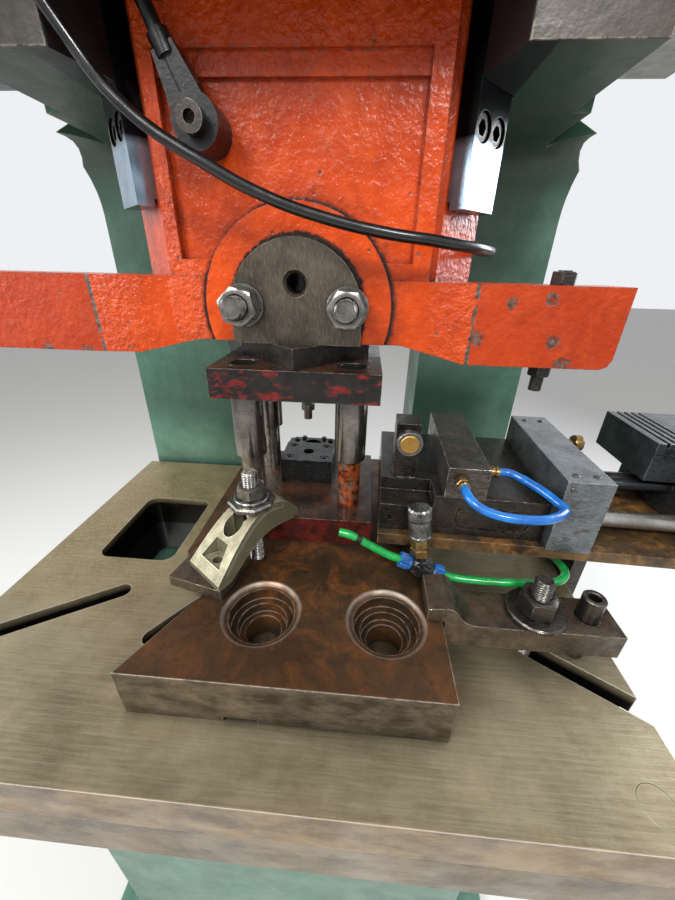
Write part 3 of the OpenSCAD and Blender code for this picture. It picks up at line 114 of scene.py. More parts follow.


# %% [markdown]
# ## Cords
# Four air lines are in the picture. A cord is a fixed length of something flexible, so each is a
# smooth curve through the points of its route, with its true diameter. The black hose hangs from
# the cover, crosses the ram and goes to the right column.

# %% Cord maker
def run_cord(name, points, diameter):
    """A smooth round cord through points given in millimetres."""
    curve = bpy.data.curves.new(name, "CURVE")
    curve.dimensions = "3D"
    spline = curve.splines.new("BEZIER")
    spline.bezier_points.add(len(points) - 1)
    for knot, point in zip(spline.bezier_points, points):
        knot.co = at(*point)
        knot.handle_left_type = knot.handle_right_type = "AUTO"
        knot.radius = diameter / 2 * MM
    spline.resolution_u = 6
    curve.bevel_depth = 1.0  # times each knot's radius, which also sets the curve's box
    curve.bevel_resolution = 5
    curve.use_fill_caps = True
    cord = bpy.data.objects.new(name, curve)
    bpy.context.scene.collection.objects.link(cord)
    return cord


# %% The four air lines
HOSE_D = 9.0
TUBE_D = 8.0
FEEDER_TURN = math.radians(-2)
FEEDER_TOP = 957.0
PLATE_TOP = 913.0


def on_feeder(x, y, z):
    """A point given on the turned feeder, in the press's own millimetres."""
    c, s = math.cos(FEEDER_TURN), math.sin(FEEDER_TURN)
    return (106 + x * c - y * s, -111 + x * s + y * c, z)


hose_route = [
    (-172, -96, 1412), (-172, -96, 1392), (-170, -96, 1367), (-166, -95, 1342), (-160, -91, 1319),
    (-151, -85, 1299), (-140, -80, 1280), (-127, -77.5, 1261.5), (-112, -77, 1247),
    (-95, -77, 1234.5), (-77, -77, 1224.5), (-58, -77, 1215), (-38, -76, 1205),
    (-17, -74.5, 1196.5), (4, -73, 1189.5),
    (25, -72, 1184), (47, -71.5, 1179), (69, -71, 1175), (90, -70, 1172), (110, -67, 1170),
    (128, -61, 1168), (144, -53, 1166.5), (158, -42, 1165.5), (169, -27, 1165), (177, -8, 1165),
    (180, 15, 1165.5), (180, 40, 1167), (179, 65, 1170), (177, 90, 1175), (175, 115, 1182.5),
    (173, 137, 1190), (172, 154, 1194), (172, 168, 1194)]
BLUE_Z = FEEDER_TOP + 20
blue_route = [on_feeder(x, y, BLUE_Z + z) for x, y, z in (
    (54, -8, 0), (54, -16, 0), (57, -24, -2), (64, -30, -5), (74, -34, -7), (86, -36, -8),
    (99, -36, -8.5), (112, -34, -9), (123, -29.5, -9.5), (132, -23, -9.5), (138, -14.5, -9),
    (134.5, -5, -8), (129, 5, -6.5), (121.5, 15, -5), (112, 25, -3.5), (103, 30, -2), (94, 30, -2))]
TEE = (131.8, -125.0, PLATE_TOP - 25.8)
TEE_DIP = math.radians(19.5)
TEE_ARM = (math.cos(TEE_DIP), 0.0, -math.sin(TEE_DIP))


def step_from(start, direction, distance):
    """The point at this distance from start."""
    return tuple(c + distance * d for c, d in zip(start, direction))


def from_tee(distance):
    """A point on the tee's cross arm."""
    return step_from(TEE, TEE_ARM, distance)


green_route = [from_tee(22), from_tee(30)] + [(x, y, PLATE_TOP + z) for x, y, z in (
    (172, -126, -37.2), (186, -127, -37), (202, -127.5, -36.8), (218, -128, -36.2),
    (234, -128, -35.2), (250, -127.5, -34), (263, -125.5, -33), (273, -119, -33),
    (279, -109, -34.5), (282, -96, -37.5), (283.5, -82, -42), (284, -69, -45.5),
    (285.2, -61, -46.8), (288.7, -55.7, -47), (293.9, -52.2, -47), (299, -51, -47),
    (305, -51, -47))]
stub_route = [from_tee(-22), from_tee(-26)] + [(x, y, PLATE_TOP + z) for x, y, z in (
    (98, -125, -13.3), (88.5, -125, -8.2), (79, -124.8, -2.8), (69, -124.5, 3), (59.5, -124.2, 7.3),
    (50, -124, 9.3))]

air_lines = {}
for node, route, diameter, length, end in (
        ("black_hose", hose_route, HOSE_D, 0.697, "object"),
        ("blue_tube", blue_route, TUBE_D, 0.178, "object"),
        ("green_tube", green_route, TUBE_D, 0.21, "object"),
        ("green_stub", stub_route, TUBE_D, 0.067, "bare")):
    line = run_cord(node + "_line", route, diameter)
    take_place(line, node)
    tuple(at(*route[0]))
    air_lines[node] = line
finished = set(air_lines)
print("laid", len(air_lines), "air lines")

# %% [markdown]
# ## A bench for finishes
# A finish is a node tree. Writing each tree by hand hides what it does, so this small bench has
# one word for each step: patches for soft clouds, cells for pits, edges for worn edges, corners
# for painted shade in corners, along, band and near for places. Sizes are in millimetres on the
# real surface.

# %% The finish bench
def paint(code):
    """A colour written as on a paint card, in linear light."""
    shares = [int(code[i:i + 2], 16) / 255 for i in (1, 3, 5)]
    linear = [s / 12.92 if s <= 0.04045 else ((s + 0.055) / 1.055) ** 2.4 for s in shares]
    return (*linear, 1.0)


class Bench:
    """A node tree whose steps are added in order."""

    def __init__(self, tree):
        self.nodes = tree.nodes
        self.links = tree.links

    def give(self, socket, value):
        """Links a step to a socket, or sets a number or a paint card's colour there."""
        if isinstance(value, bpy.types.NodeSocket):
            self.links.new(value, socket)
        else:
            socket.default_value = paint(value) if isinstance(value, str) else value

    def step(self, kind, inputs):
        """A new node of this kind, with its inputs linked or set."""
        node = self.nodes.new("ShaderNode" + kind)
        for name, value in inputs.items():
            self.give(node.inputs[name], value)
        return node

    def between(self, value, low, high, to_low=0.0, to_high=1.0):
        """Value mapped from one range to another and held inside it."""
        node = self.step("MapRange", {"Value": value, "From Min": low, "From Max": high,
                                      "To Min": to_low, "To Max": to_high})
        node.clamp = True
        return node.outputs["Result"]

    def scaled(self, share, at_none, at_all):
        """A share from 0 to 1, as a value between these two."""
        return self.between(share, 0.0, 1.0, at_none, at_all)

    def sum(self, kind, a, b):
        """One of Blender's sums of two values, such as ADD."""
        node = self.step("Math", {0: a, 1: b})
        node.operation = kind
        return node.outputs[0]

    def both(self, a, b):
        """The product: high only where both are."""
        return self.sum("MULTIPLY", a, b)

    def either(self, a, b):
        """The larger of the two."""
        return self.sum("MAXIMUM", a, b)

    def blend(self, share, under, over, amount=None):
        """One colour over another, by a share and perhaps only so much of it."""
        if amount is not None:
            share = self.both(share, amount)
        node = self.nodes.new("ShaderNodeMix")
        node.data_type = "RGBA"
        self.give(node.inputs[0], share)
        self.give(node.inputs[6], under)
        self.give(node.inputs[7], over)
        return node.outputs[2]


class Finish(Bench):
    """One finish: a material with a shader."""

    def __init__(self, name, metallic=0.0, specular=0.5, coat=0.0):
        self.material = bpy.data.materials.new(name)
        self.material.use_nodes = True
        super().__init__(self.material.node_tree)
        self.shader = self.nodes["Principled BSDF"]
        self.shader.inputs["Metallic"].default_value = metallic
        self.shader.inputs["Specular IOR Level"].default_value = specular
        self.shader.inputs["Coat Weight"].default_value = coat
        self.shader.inputs["Coat Roughness"].default_value = 0.1
        self.place = self.nodes.new("ShaderNodeTexCoord").outputs["Object"]
        self.normal = None

    def stretched(self, stretch, turn=(0, 0, 0)):
        """The place on the piece, with its axes scaled and turned by degrees."""
        return self.step("Mapping", {
            "Scale": stretch, "Rotation": [math.radians(a) for a in turn],
            "Vector": self.place}).outputs["Vector"]

    def cloud(self, size, detail=4.0, rough=0.55, stretch=(1, 1, 1), warp=0.0, turn=(0, 0, 0)):
        """Soft patches of about this size, from 0 to 1."""
        return self.step("TexNoise", {
            "Scale": 1 / (size * MM), "Detail": detail, "Roughness": rough, "Distortion": warp,
            "Vector": self.stretched(stretch, turn)}).outputs["Fac"]

    def cells(self, size, turn=(0, 0, 0)):
        """Distance to the nearest of scattered points, about this size apart."""
        return self.step("TexVoronoi", {
            "Scale": 1 / (size * MM),
            "Vector": self.stretched((1, 1, 1), turn)}).outputs["Distance"]

    def patches(self, size, low, high, to_low=0.0, to_high=1.0, **kind):
        """A cloud of this size, held between two levels."""
        return self.between(self.cloud(size, **kind), low, high, to_low, to_high)

    def edges(self, radius, high=0.1):
        """1 along outer and inner edges, 0 on open faces."""
        rounded = self.step("Bevel", {"Radius": radius * MM})
        rounded.samples = 4
        face = self.step("NewGeometry", {})
        dot = self.step("VectorMath", {0: rounded.outputs["Normal"],
                                       1: face.outputs["True Normal"]})
        dot.operation = "DOT_PRODUCT"
        return self.between(dot.outputs["Value"], 0.99, 1 - high)

    def corners(self, reach, low, high):
        """1 deep in corners and under overhangs, where shade falls, and 0 in the open: the mask for
        painted shade.
        """
        node = self.step("AmbientOcclusion", {"Distance": reach * MM})
        node.samples = 4
        return self.between(node.outputs["AO"], high, low)

    def split(self, vector, axis):
        """The x, y or z share of a vector."""
        return self.step("SeparateXYZ", {0: vector}).outputs["xyz".index(axis)]

    def along(self, axis, low, high):
        """0 to 1 between two places along x, y or z, in millimetres."""
        return self.between(self.split(self.place, axis), low * MM, high * MM)

    def near(self, point, inside, outside, stretch=(1, 1, 1), ragged=0.0):
        """1 near a point and 0 beyond a larger distance; a stretch of 0 leaves an axis out."""
        away = self.step("VectorMath", {0: self.stretched(stretch),
                                        1: [c * s * MM for c, s in zip(point, stretch)]})
        away.operation = "DISTANCE"
        distance = away.outputs["Value"]
        if ragged:
            wave = self.patches(9, 0.3, 0.7, -ragged * MM, ragged * MM, detail=7, rough=0.7)
            distance = self.sum("ADD", distance, wave)
        return self.between(distance, outside * MM, inside * MM)

    def hoop(self, point, inner, outer, stretch, ragged):
        """1 between an inner and an outer distance, each given as where it starts and ends."""
        return self.sum("SUBTRACT", self.near(point, *outer, stretch, ragged),
                        self.near(point, *inner, stretch, ragged))

    def band(self, axis, low, high, soft):
        """1 between two places along x, y or z and 0 outside them, in millimetres."""
        return self.both(self.along(axis, low - soft, low), self.along(axis, high + soft, high))

    def facing(self, axis, low=0.6, high=0.9):
        """1 on faces that look along x, y or z, and 0 on the rest."""
        turned = self.step("VectorTransform", {0: self.step("NewGeometry", {}).outputs["Normal"]})
        turned.vector_type = "NORMAL"
        turned.convert_from = "WORLD"
        turned.convert_to = "OBJECT"
        value = self.split(turned.outputs[0], axis[-1])
        if axis.startswith("-"):
            value = self.both(value, -1.0)
        return self.between(value, low, high)

    def colour(self, value):
        self.give(self.shader.inputs["Base Color"], value)
        return self

    def rough(self, value):
        self.give(self.shader.inputs["Roughness"], value)
        return self

    def metal(self, value):
        self.give(self.shader.inputs["Metallic"], value)
        return self

    def bump(self, height, depth):
        """Raises the surface by this depth, in millimetres, where height is 1."""
        node = self.step("Bump", {"Distance": depth * MM, "Height": height})
        if self.normal is not None:
            self.links.new(self.normal, node.inputs["Normal"])
        self.normal = node.outputs["Normal"]
        self.links.new(self.normal, self.shader.inputs["Normal"])
        return self


# %% [markdown]
# ## Ram enamel
# The ram is a rough casting under thick orange-red brush enamel. The brush left lumps and runs
# that catch the light, painted shade darkens the corners together with old dirt, small pits show
# dark, painted shade darkens the outer arms and the edge of the round boss, and the enamel has
# chipped along the edges down to grey iron. Each of those is one step of the finish.

# %% Ram enamel
ARM_CHIPS = (((193, 0, 1123), 4), ((226, 0, 1128), 5), ((169, 0, 1093), 5), ((236, 0, 1092), 5),
             ((249, 0, 1069), 7), ((-255, 0, 1066), 6), ((-214, 0, 1068), 6), ((-140, 0, 1067), 4))
LEFT_KINK, RIGHT_KINK = -196, 162
CAP_CENTRE = (0, 0, 1111)
ONLY_XZ = (1, 0, 1)
ONLY_XY = (1, 1, 0)


def ram_enamel():
    f = Finish("ram_enamel", specular=0.35)
    red = f.blend(f.patches(80, 0.35, 0.65, detail=5), "#cd4708", "#ad3604")
    mottle = f.patches(14, 0.48, 0.7, detail=7, rough=0.7, stretch=(1, 1, 0.6))
    red = f.blend(mottle, red, "#dc5a20", 0.5)
    arms = f.along("y", -38, -43)
    outer_left = f.both(arms, f.along("x", LEFT_KINK + 3, LEFT_KINK - 3))
    inner = f.both(arms, f.band("x", LEFT_KINK, RIGHT_KINK, 1))
    # Brushed and dull on the outer left arm
    strokes = f.patches(10, 0.4, 0.68, detail=6, rough=0.75, stretch=(0.3, 1, 3))
    red = f.blend(f.both(outer_left, f.both(strokes, 0.6)), red, "#9c2c12")
    # Painted shade: both outer arms darker, #8f2a10 at 0.45
    outer_right = f.both(arms, f.along("x", RIGHT_KINK - 3, RIGHT_KINK + 3))
    outer = f.either(outer_left, outer_right)
    red = f.blend(outer, red, "#8f2a10", 0.45)
    # Painted shade in the corners, mottled with old dirt, and old dirt in blotches
    stains = f.patches(22, 0.5, 0.72, detail=8, rough=0.72)
    dirt_and_shade = f.both(f.corners(18, 0.25, 0.8), f.scaled(stains, 0.45, 1.0))
    dirt_and_shade = f.either(dirt_and_shade, f.both(stains, 0.28))
    red = f.blend(dirt_and_shade, red, "#4c150a")
    # The casting's round boss is shown by painted shade: a dark line along its edge and softer
    # painted shade around it
    panel = f.along("y", -36.6, -35)
    boss_edge_shade = f.both(panel, f.hoop(CAP_CENTRE, (86, 88), (90, 94), ONLY_XZ, 1.2))
    boss_shade = f.both(panel, f.near(CAP_CENTRE, 96, 112, ONLY_XZ, 5))
    red = f.blend(f.both(boss_shade, f.scaled(stains, 0.15, 0.75)), red, "#6b2412")
    # Pits
    pits = f.both(f.between(f.cells(6.5), 0.12, 0.05), f.patches(30, 0.5, 0.6))
    big = f.both(f.between(f.cells(21, turn=(20, 30, 10)), 0.10, 0.05), f.patches(60, 0.42, 0.5))
    pits = f.either(pits, big)
    # Chips down to the iron: along worn edges, at the kinks of the arms and in single spots
    ragged = f.patches(6, 0.5, 0.56, detail=6, rough=0.75)
    chips = f.both(f.edges(2.2, 0.08), ragged)
    for kink in (LEFT_KINK, RIGHT_KINK):
        line = f.both(f.band("x", kink - 1.2, kink + 1.2, 1.2), arms)
        chips = f.either(chips, f.both(line, f.patches(11, 0.42, 0.5, detail=6, rough=0.7)))
    for place, radius in ARM_CHIPS:
        spot = f.both(f.near(place, radius, radius + 2, ONLY_XZ, radius * 0.9),
                      f.patches(4.5, 0.44, 0.5, detail=6, rough=0.75))
        chips = f.either(chips, f.both(spot, arms))
    ring = f.both(f.along("y", -36, -36.6), f.near(CAP_CENTRE, 64.5, 66.5, ONLY_XZ, 2.2))
    iron = f.blend(f.patches(5, 0.4, 0.6, detail=5), "#6a625a", "#3a302a")
    shown = f.blend(f.either(chips, f.both(pits, 0.85)), red, iron)
    # The dark ring round the cap, and the painted shade line along the boss's edge
    shown = f.blend(f.either(ring, boss_edge_shade), shown, "#24130d")
    f.colour(shown)
    gloss = f.patches(34, 0.35, 0.7, 0.16, 0.38, detail=5)
    gloss = f.sum("ADD", gloss, f.both(outer_left, 0.22))
    f.rough(f.either(gloss, f.both(chips, 0.55)))
    wrinkles = f.patches(5.5, 0.3, 0.7, detail=4, rough=0.62)
    strong = f.either(inner, f.both(f.band("x", -120, -92, 3), f.along("y", -24, -26)))
    f.bump(f.cloud(11, detail=3, rough=0.5), 1.0)
    f.bump(f.both(wrinkles, f.scaled(strong, 0.35, 1.3)), 0.85)
    return f.bump(f.both(f.either(chips, pits), -1.0), 0.35).material


# %% [markdown]
# ## Frame enamel
# The frame wears semi-gloss machine green with patches of old grime. Painted shade darkens its
# corners, its undersides and the head behind its front, and fills the bed's opening and the floor
# plate inside the frame with near black.
# The front faces of the head and the bed's front edge show bare, dark iron. Position along the
# frame decides where the paint ends.

# %% Frame enamel
HEAD_FRONT, HEAD_FOOT = -79, 1270


def frame_enamel(name="frame_enamel", casting=False, floor_plate=False):
    f = Finish(name)
    green = f.blend(f.patches(160, 0.35, 0.65, detail=4), "#587f6c", "#456d5c")
    mottle = f.patches(18, 0.45, 0.8, detail=6, rough=0.7)
    green = f.blend(mottle, green, "#6d917f", 0.35)
    grime = f.patches(60, 0.42, 0.7, detail=8, rough=0.7)
    # Painted shade: darker in corners and on undersides, mixed with patches of old grime
    under = f.facing("-z", 0.2, 0.9)
    dark = f.either(f.both(f.corners(60, 0.2, 0.8), 0.85), f.both(under, 0.75))
    dark = f.either(dark, f.both(grime, 0.4))
    green = f.blend(dark, green, "#17211c")
    chips = f.both(f.edges(2.0, 0.08), f.patches(12, 0.45, 0.54, detail=6, rough=0.75))
    shown = f.blend(chips, green, "#98a59b")
    if casting:
        # Bare iron on the head's front and on the bed's front edge, and painted shade, near black,
        # in the head behind its front
        front = f.both(f.along("y", HEAD_FRONT + 0.5, HEAD_FRONT - 0.5),
                       f.along("z", HEAD_FOOT, HEAD_FOOT + 6))
        iron = f.blend(f.patches(45, 0.4, 0.65, detail=8, rough=0.72), "#453c33", "#241f1a")
        iron = f.blend(chips, iron, "#a79a88", 0.8)
        shown = f.blend(front, shown, iron)
        head_hollow_shade = f.both(f.band("x", -175, 175, 1), f.along("z", HEAD_FOOT - 8, HEAD_FOOT))
        inwards = f.along("y", HEAD_FRONT - 0.4, HEAD_FRONT + 1)
        shown = f.blend(f.both(head_hollow_shade, inwards), shown, "#141619")
        bed = f.both(f.along("y", -292, -294), f.along("z", 712, 716))
        rust = f.blend(f.patches(26, 0.4, 0.62, detail=8, rough=0.75, stretch=(0.5, 1, 1)),
                       "#786850", "#4b3f30")
        shown = f.blend(bed, shown, rust)
        # Painted shade, near black, inside the bed's opening at the left, below its top
        hole = f.both(f.both(f.band("x", -256, -159, 1), f.band("y", -76, 56, 1)),
                      f.along("z", 776, 774))
        shown = f.blend(hole, shown, "#0b0b0a")
    if floor_plate:
        # Painted shade, near black, on the plate inside the frame
        inside = f.both(f.band("x", -175, 175, 1), f.band("y", -219, 518, 1))
        shown = f.blend(inside, shown, "#12110f")
    f.colour(shown)
    f.rough(f.patches(50, 0.3, 0.7, 0.28, 0.5, detail=5))
    f.bump(f.cloud(14, detail=3), 0.6)
    return f.bump(f.cloud(3, detail=3), 0.12).material


# %% [markdown]
# ## Steels
# Nearly every other piece is steel, and the shop shows how each has been treated: ground bright,
# blackened by oil, or brown with rust. One recipe serves them all. It mixes two tones in patches,
# lays scratches over them, paints shade into the corners and brightens the worn edges.

# %% Steel recipe
def steel(name, light, dark, rust=None, rusty=0.0, metallic=0.85, gloss=(0.25, 0.5), patch=30.0,
          scratch=0.35, stretch=(1, 14, 14), worn="#b9b6ae", edge=0.7, oil=0.5, dents=0.05,
          greasy=None):
    """Rusty, scratch and edge say how much there is of each, oil how much painted shade darkens the
    corners, and worn how it shows.

    Greasy is the film at one end: an axis, where it starts and is full, and its colour."""
    f = Finish(name, metallic=metallic)
    tone = f.blend(f.patches(patch, 0.38, 0.62, detail=6, rough=0.65), light, dark)
    lines = f.patches(6, 0.45, 0.75, detail=5, rough=0.75, stretch=stretch)
    tone = f.blend(lines, tone, worn, scratch)
    shine = f.patches(patch * 0.6, 0.3, 0.7, *gloss, detail=5)
    metal = metallic
    if rust:
        spread = 0.3 * rusty
        where = f.patches(patch * 0.8, 0.62 - spread, 0.78 - spread, detail=9, rough=0.72, warp=0.4)
        tone = f.blend(where, tone, rust)
        shine = f.either(shine, f.both(where, 0.62))
        metal = f.scaled(where, metallic, metallic * 0.25)
    # Painted shade in the corners, as dark as old oil, by the amount oil
    tone = f.blend(f.corners(14, 0.3, 0.85), tone, "#120f0c", oil)
    wear = f.both(f.edges(0.9), f.patches(8, 0.4, 0.6, detail=5, rough=0.7))
    tone = f.blend(wear, tone, worn, edge)
    shine = f.both(shine, f.scaled(wear, 1.0, 0.7))
    if greasy:
        axis, start, end, colour = greasy
        grease = f.both(f.along(axis, start, end), f.patches(30, 0.2, 0.4, 0.75, 1.0, detail=6))
        tone = f.blend(grease, tone, colour)
    f.colour(tone).rough(shine).metal(metal)
    f.bump(f.cloud(3.5, detail=5, rough=0.6), dents)
    return f.bump(lines, 0.015).material


# %% [markdown]
# ## Bronze, rubber, plastic and paint
# The bushes are bronze, the hose is rubber, the air lines are tube and the buttons are plastic.
# A clear tube lets some light through, so it gets a little transmission; the rest is colour
# variation, a fine bump and the right gloss.

# %% Small finishes
def moulded(name, base, shade, gloss, grain=1.2, depth=0.05, specular=0.5, coat=0.0):
    f = Finish(name, specular=specular, coat=coat)
    f.colour(f.blend(f.patches(18, 0.4, 0.65, detail=5), base, shade))
    f.rough(f.patches(9, 0.3, 0.7, gloss * 0.8, gloss * 1.3, detail=4))
    return f.bump(f.cloud(grain, detail=2), depth).material


def air_tube(name, base, deep, dark_band=None):
    f = Finish(name, coat=0.3)
    f.shader.inputs["Transmission Weight"].default_value = 0.25
    tone = f.blend(f.patches(20, 0.35, 0.65, detail=3), base, deep)
    if dark_band:
        tone = f.blend(f.near(dark_band, 4.3, 5.2, ragged=0.8), tone, "#0d2016")
    f.colour(tone)
    return f.rough(f.patches(6, 0.3, 0.7, 0.16, 0.3)).material


FINISHES = {
    "ram_paint": ram_enamel(),
    "frame_paint": frame_enamel(),
    "casting": steel("crank_iron", "#5e5953", "#3e3a36", "#5b4030", 0.3, 0.7, (0.4, 0.6)),
    "ground_steel": steel("ground_steel", "#8d857a", "#6e665b", "#6b543e", 0.35,
                          gloss=(0.28, 0.45)),
    "dark_steel": steel("oily_steel", "#3c3835", "#211e1c", "#3b2a20", 0.3, 0.85, (0.22, 0.42)),
    "plated": steel("bright_steel", "#a9a7a2", "#85827b", "#6b5842", 0.2, 0.85, (0.18, 0.35)),
    "bronze": steel("bronze", "#a8803f", "#7d5a28", worn="#d9b877", oil=0.6),
    "black_rubber": moulded("hose_rubber", "#0c0c0d", "#161617", gloss=0.22, specular=0.6),
    "blue_tube": air_tube("blue_tube", "#1c86dc", "#0f5fb4"),
    "green_tube": air_tube("green_tube", "#1fbf5c", "#118a3f"),
    "grey_paint": moulded("grey_enamel", "#a9aca8", "#8f938f", gloss=0.45, grain=3, depth=0.08),
    "start_green": moulded("start_green", "#2f8a4a", "#277a40", gloss=0.3),
    "stop_red": moulded("stop_red", "#c22a20", "#a82219", gloss=0.3),
}

# %% [markdown]
# ## Finishes of single pieces
# Some pieces look like no other: the shoes of the die set still carry black and dark red paint, the
# thick riser plate has rusted in patches, and the table is brushed grey on top and ochre in front.
# Each gets a finish of its own, with masks that say where on the piece each tone lies.

# %% Table and riser plate
TABLE_TOP, TABLE_FRONT = 820, -294
TABLE_SCREWS = [(x, y, 0) for x in (-285, 285) for y in (-269, 146)]
RISER_HOLES = ((-15, -177, 0), (97, -177, 0))


def table_iron():
    f = Finish("table_iron", metallic=0.72)
    top = f.blend(f.patches(120, 0.36, 0.64, detail=7, rough=0.68), "#958a6e", "#6f644b")
    brushed = f.patches(7, 0.42, 0.72, detail=6, rough=0.8, stretch=(0.12, 3, 1))
    top = f.blend(brushed, top, "#b3a995", 0.45)
    cross = f.patches(5, 0.6, 0.72, detail=5, rough=0.8, stretch=(0.1, 5, 1), turn=(0, 0, 24))
    top = f.blend(cross, top, "#4c4436", 0.4)
    stains = f.patches(55, 0.52, 0.7, detail=9, rough=0.75, warp=0.5)
    top = f.blend(stains, top, "#54462f", 0.6)
    sand = f.both(f.band("x", -320, -150, 60), f.along("y", -190, -60))
    sand = f.both(sand, f.patches(3, 0.42, 0.6, detail=6, rough=0.8))
    top = f.blend(sand, top, "#b59d6c", 0.6)
    front = f.along("y", TABLE_FRONT + 0.5, TABLE_FRONT - 0.5)
    ochre = f.blend(f.patches(26, 0.4, 0.62, detail=8, rough=0.75, stretch=(0.5, 1, 1)),
                    "#8f7a5b", "#5c4b37")
    top = f.blend(front, top, ochre)
    # Painted shade in corners and recesses
    top = f.blend(f.corners(18, 0.2, 0.85), top, "#15110c", 0.85)
    worn = f.edges(1.4)
    for screw in TABLE_SCREWS:
        worn = f.both(worn, f.scaled(f.near(screw, 14, 15, ONLY_XY), 1.0, 0.2))
    # Painted shade, near black, inside the slots and holes below the top
    inner = f.both(f.band("x", -316, 316, 1), f.band("y", -292, 167, 1))
    slot_shade = f.both(inner, f.along("z", TABLE_TOP - 1.5, TABLE_TOP - 10))
    shown = f.blend(worn, top, "#ddd6c8", 0.85)
    f.colour(f.blend(slot_shade, shown, "#0c0a07"))
    f.rough(f.patches(40, 0.3, 0.7, 0.3, 0.55, detail=6))
    f.metal(f.scaled(f.either(front, stains), 0.72, 0.25))
    f.bump(f.cloud(4, detail=6, rough=0.7), 0.12)
    return f.bump(brushed, 0.03).material


def riser_rust():
    f = Finish("riser_rust", metallic=0.55)
    tone = f.blend(f.patches(60, 0.36, 0.64, detail=7, rough=0.7), "#5b4631", "#3e3022")
    rust = f.patches(34, 0.46, 0.66, detail=9, rough=0.75, warp=0.6)
    spread = f.near((40, -90, 870), 50, 150, ONLY_XY, 20)
    rust = f.both(rust, f.scaled(spread, 0.4, 1.0))
    tone = f.blend(rust, tone, "#80481b")
    deep = f.patches(15, 0.56, 0.68, detail=8, rough=0.75)
    tone = f.blend(deep, tone, "#2c1d15", 0.6)
    front = f.along("y", -242, -242.8)
    grey = f.blend(f.patches(22, 0.42, 0.6, detail=8, rough=0.75, stretch=(0.7, 1, 1.4)),
                   "#62584c", "#33291f")
    tone = f.blend(front, tone, grey)
    # Painted shade in corners and recesses
    tone = f.blend(f.corners(20, 0.2, 0.85), tone, "#0f0b08", 0.9)
    worn = f.both(f.edges(1.5), f.patches(9, 0.35, 0.5, detail=5))
    for hole in RISER_HOLES:
        ring = f.hoop(hole, (32, 33.5), (35, 36.5), ONLY_XY, 0.6)
        worn = f.either(worn, f.both(ring, f.both(f.along("z", 864, 866), 0.45)))
    f.colour(f.blend(worn, tone, "#b3a79a", 0.8))
    f.rough(f.patches(30, 0.3, 0.7, 0.24, 0.5, detail=6))
    f.metal(f.scaled(rust, 0.6, 0.2))
    f.bump(f.cloud(6, detail=7, rough=0.7), 0.25)
    return f.bump(f.between(f.cells(5), 0.16, 0.06), 0.08).material


# %% Die shoes
def shoe_paint(name, red_low, red_high, amount, red="#7c1a17", deep="#4f100f"):
    """Black machine paint with dark red under and over it."""
    f = Finish(name, metallic=0.1, specular=0.55)
    black = f.blend(f.patches(20, 0.4, 0.6, detail=6), "#1d1a18", "#0f0e0d")
    wear = f.patches(16, 0.62 - amount, 0.66 - amount, detail=8, rough=0.75, stretch=(0.6, 1, 1.5))
    front = f.both(f.facing("-y"), f.band("z", red_low, red_high, 1))
    reds = f.blend(f.patches(12, 0.4, 0.6, detail=6), red, deep)
    tone = f.blend(f.both(wear, front), black, reds)
    top = f.facing("z")
    oil = f.blend(f.patches(30, 0.42, 0.6, detail=7, rough=0.7), "#4b2f1e", "#241a14")
    tone = f.blend(top, tone, oil, 0.85)
    worn = f.both(f.edges(1.0), f.patches(7, 0.42, 0.55, detail=5))
    f.colour(f.blend(worn, tone, "#948a80", 0.7))
    f.rough(f.patches(16, 0.3, 0.7, 0.16, 0.4, detail=5))
    return f.bump(f.cloud(5, detail=5, rough=0.65), 0.18).material


# %% Cast clamp and guide posts
def cast_clamp():
    f = Finish("cast_clamp", metallic=0.3)
    tone = f.blend(f.patches(16, 0.4, 0.62, detail=6, rough=0.7), "#989076", "#767056")
    side = f.facing("z", 0.35, 0.05)
    tone = f.blend(side, tone, "#66654f", 0.75)
    rust = f.both(f.patches(8, 0.55, 0.66, detail=8, rough=0.75), f.corners(10, 0.2, 0.7))
    tone = f.blend(rust, tone, "#5d3b20")
    # Painted shade in corners and recesses
    tone = f.blend(f.corners(9, 0.1, 0.75), tone, "#2b241a", 0.7)
    f.colour(f.blend(f.edges(1.2), tone, "#d9d4bd", 0.6))
    f.rough(f.patches(9, 0.3, 0.7, 0.32, 0.55, detail=4))
    return f.bump(f.cloud(2.2, detail=4, rough=0.65), 0.35).material


def post_steel():
    """Bright posts, with a film of brown oil on the right one."""
    f = Finish("post_steel", metallic=0.9)
    tone = f.blend(f.patches(9, 0.4, 0.6, detail=5), "#a39c92", "#7c746a")
    oily = f.both(f.along("x", 20, 30), f.along("z", 965, 955))
    oily = f.both(oily, f.patches(9, 0.3, 0.5, detail=6, rough=0.7))
    film = f.blend(f.patches(7, 0.42, 0.58, detail=6), "#a34a17", "#4a1c0c")
    tone = f.blend(oily, tone, film)
    # Painted shade in corners and recesses
    f.colour(f.blend(f.corners(10, 0.2, 0.8), tone, "#15100c", 0.7))
    f.rough(f.patches(12, 0.3, 0.7, 0.14, 0.3, detail=4))
    f.metal(f.scaled(oily, 0.9, 0.35))
    return f.bump(f.cloud(3, detail=4), 0.03).material


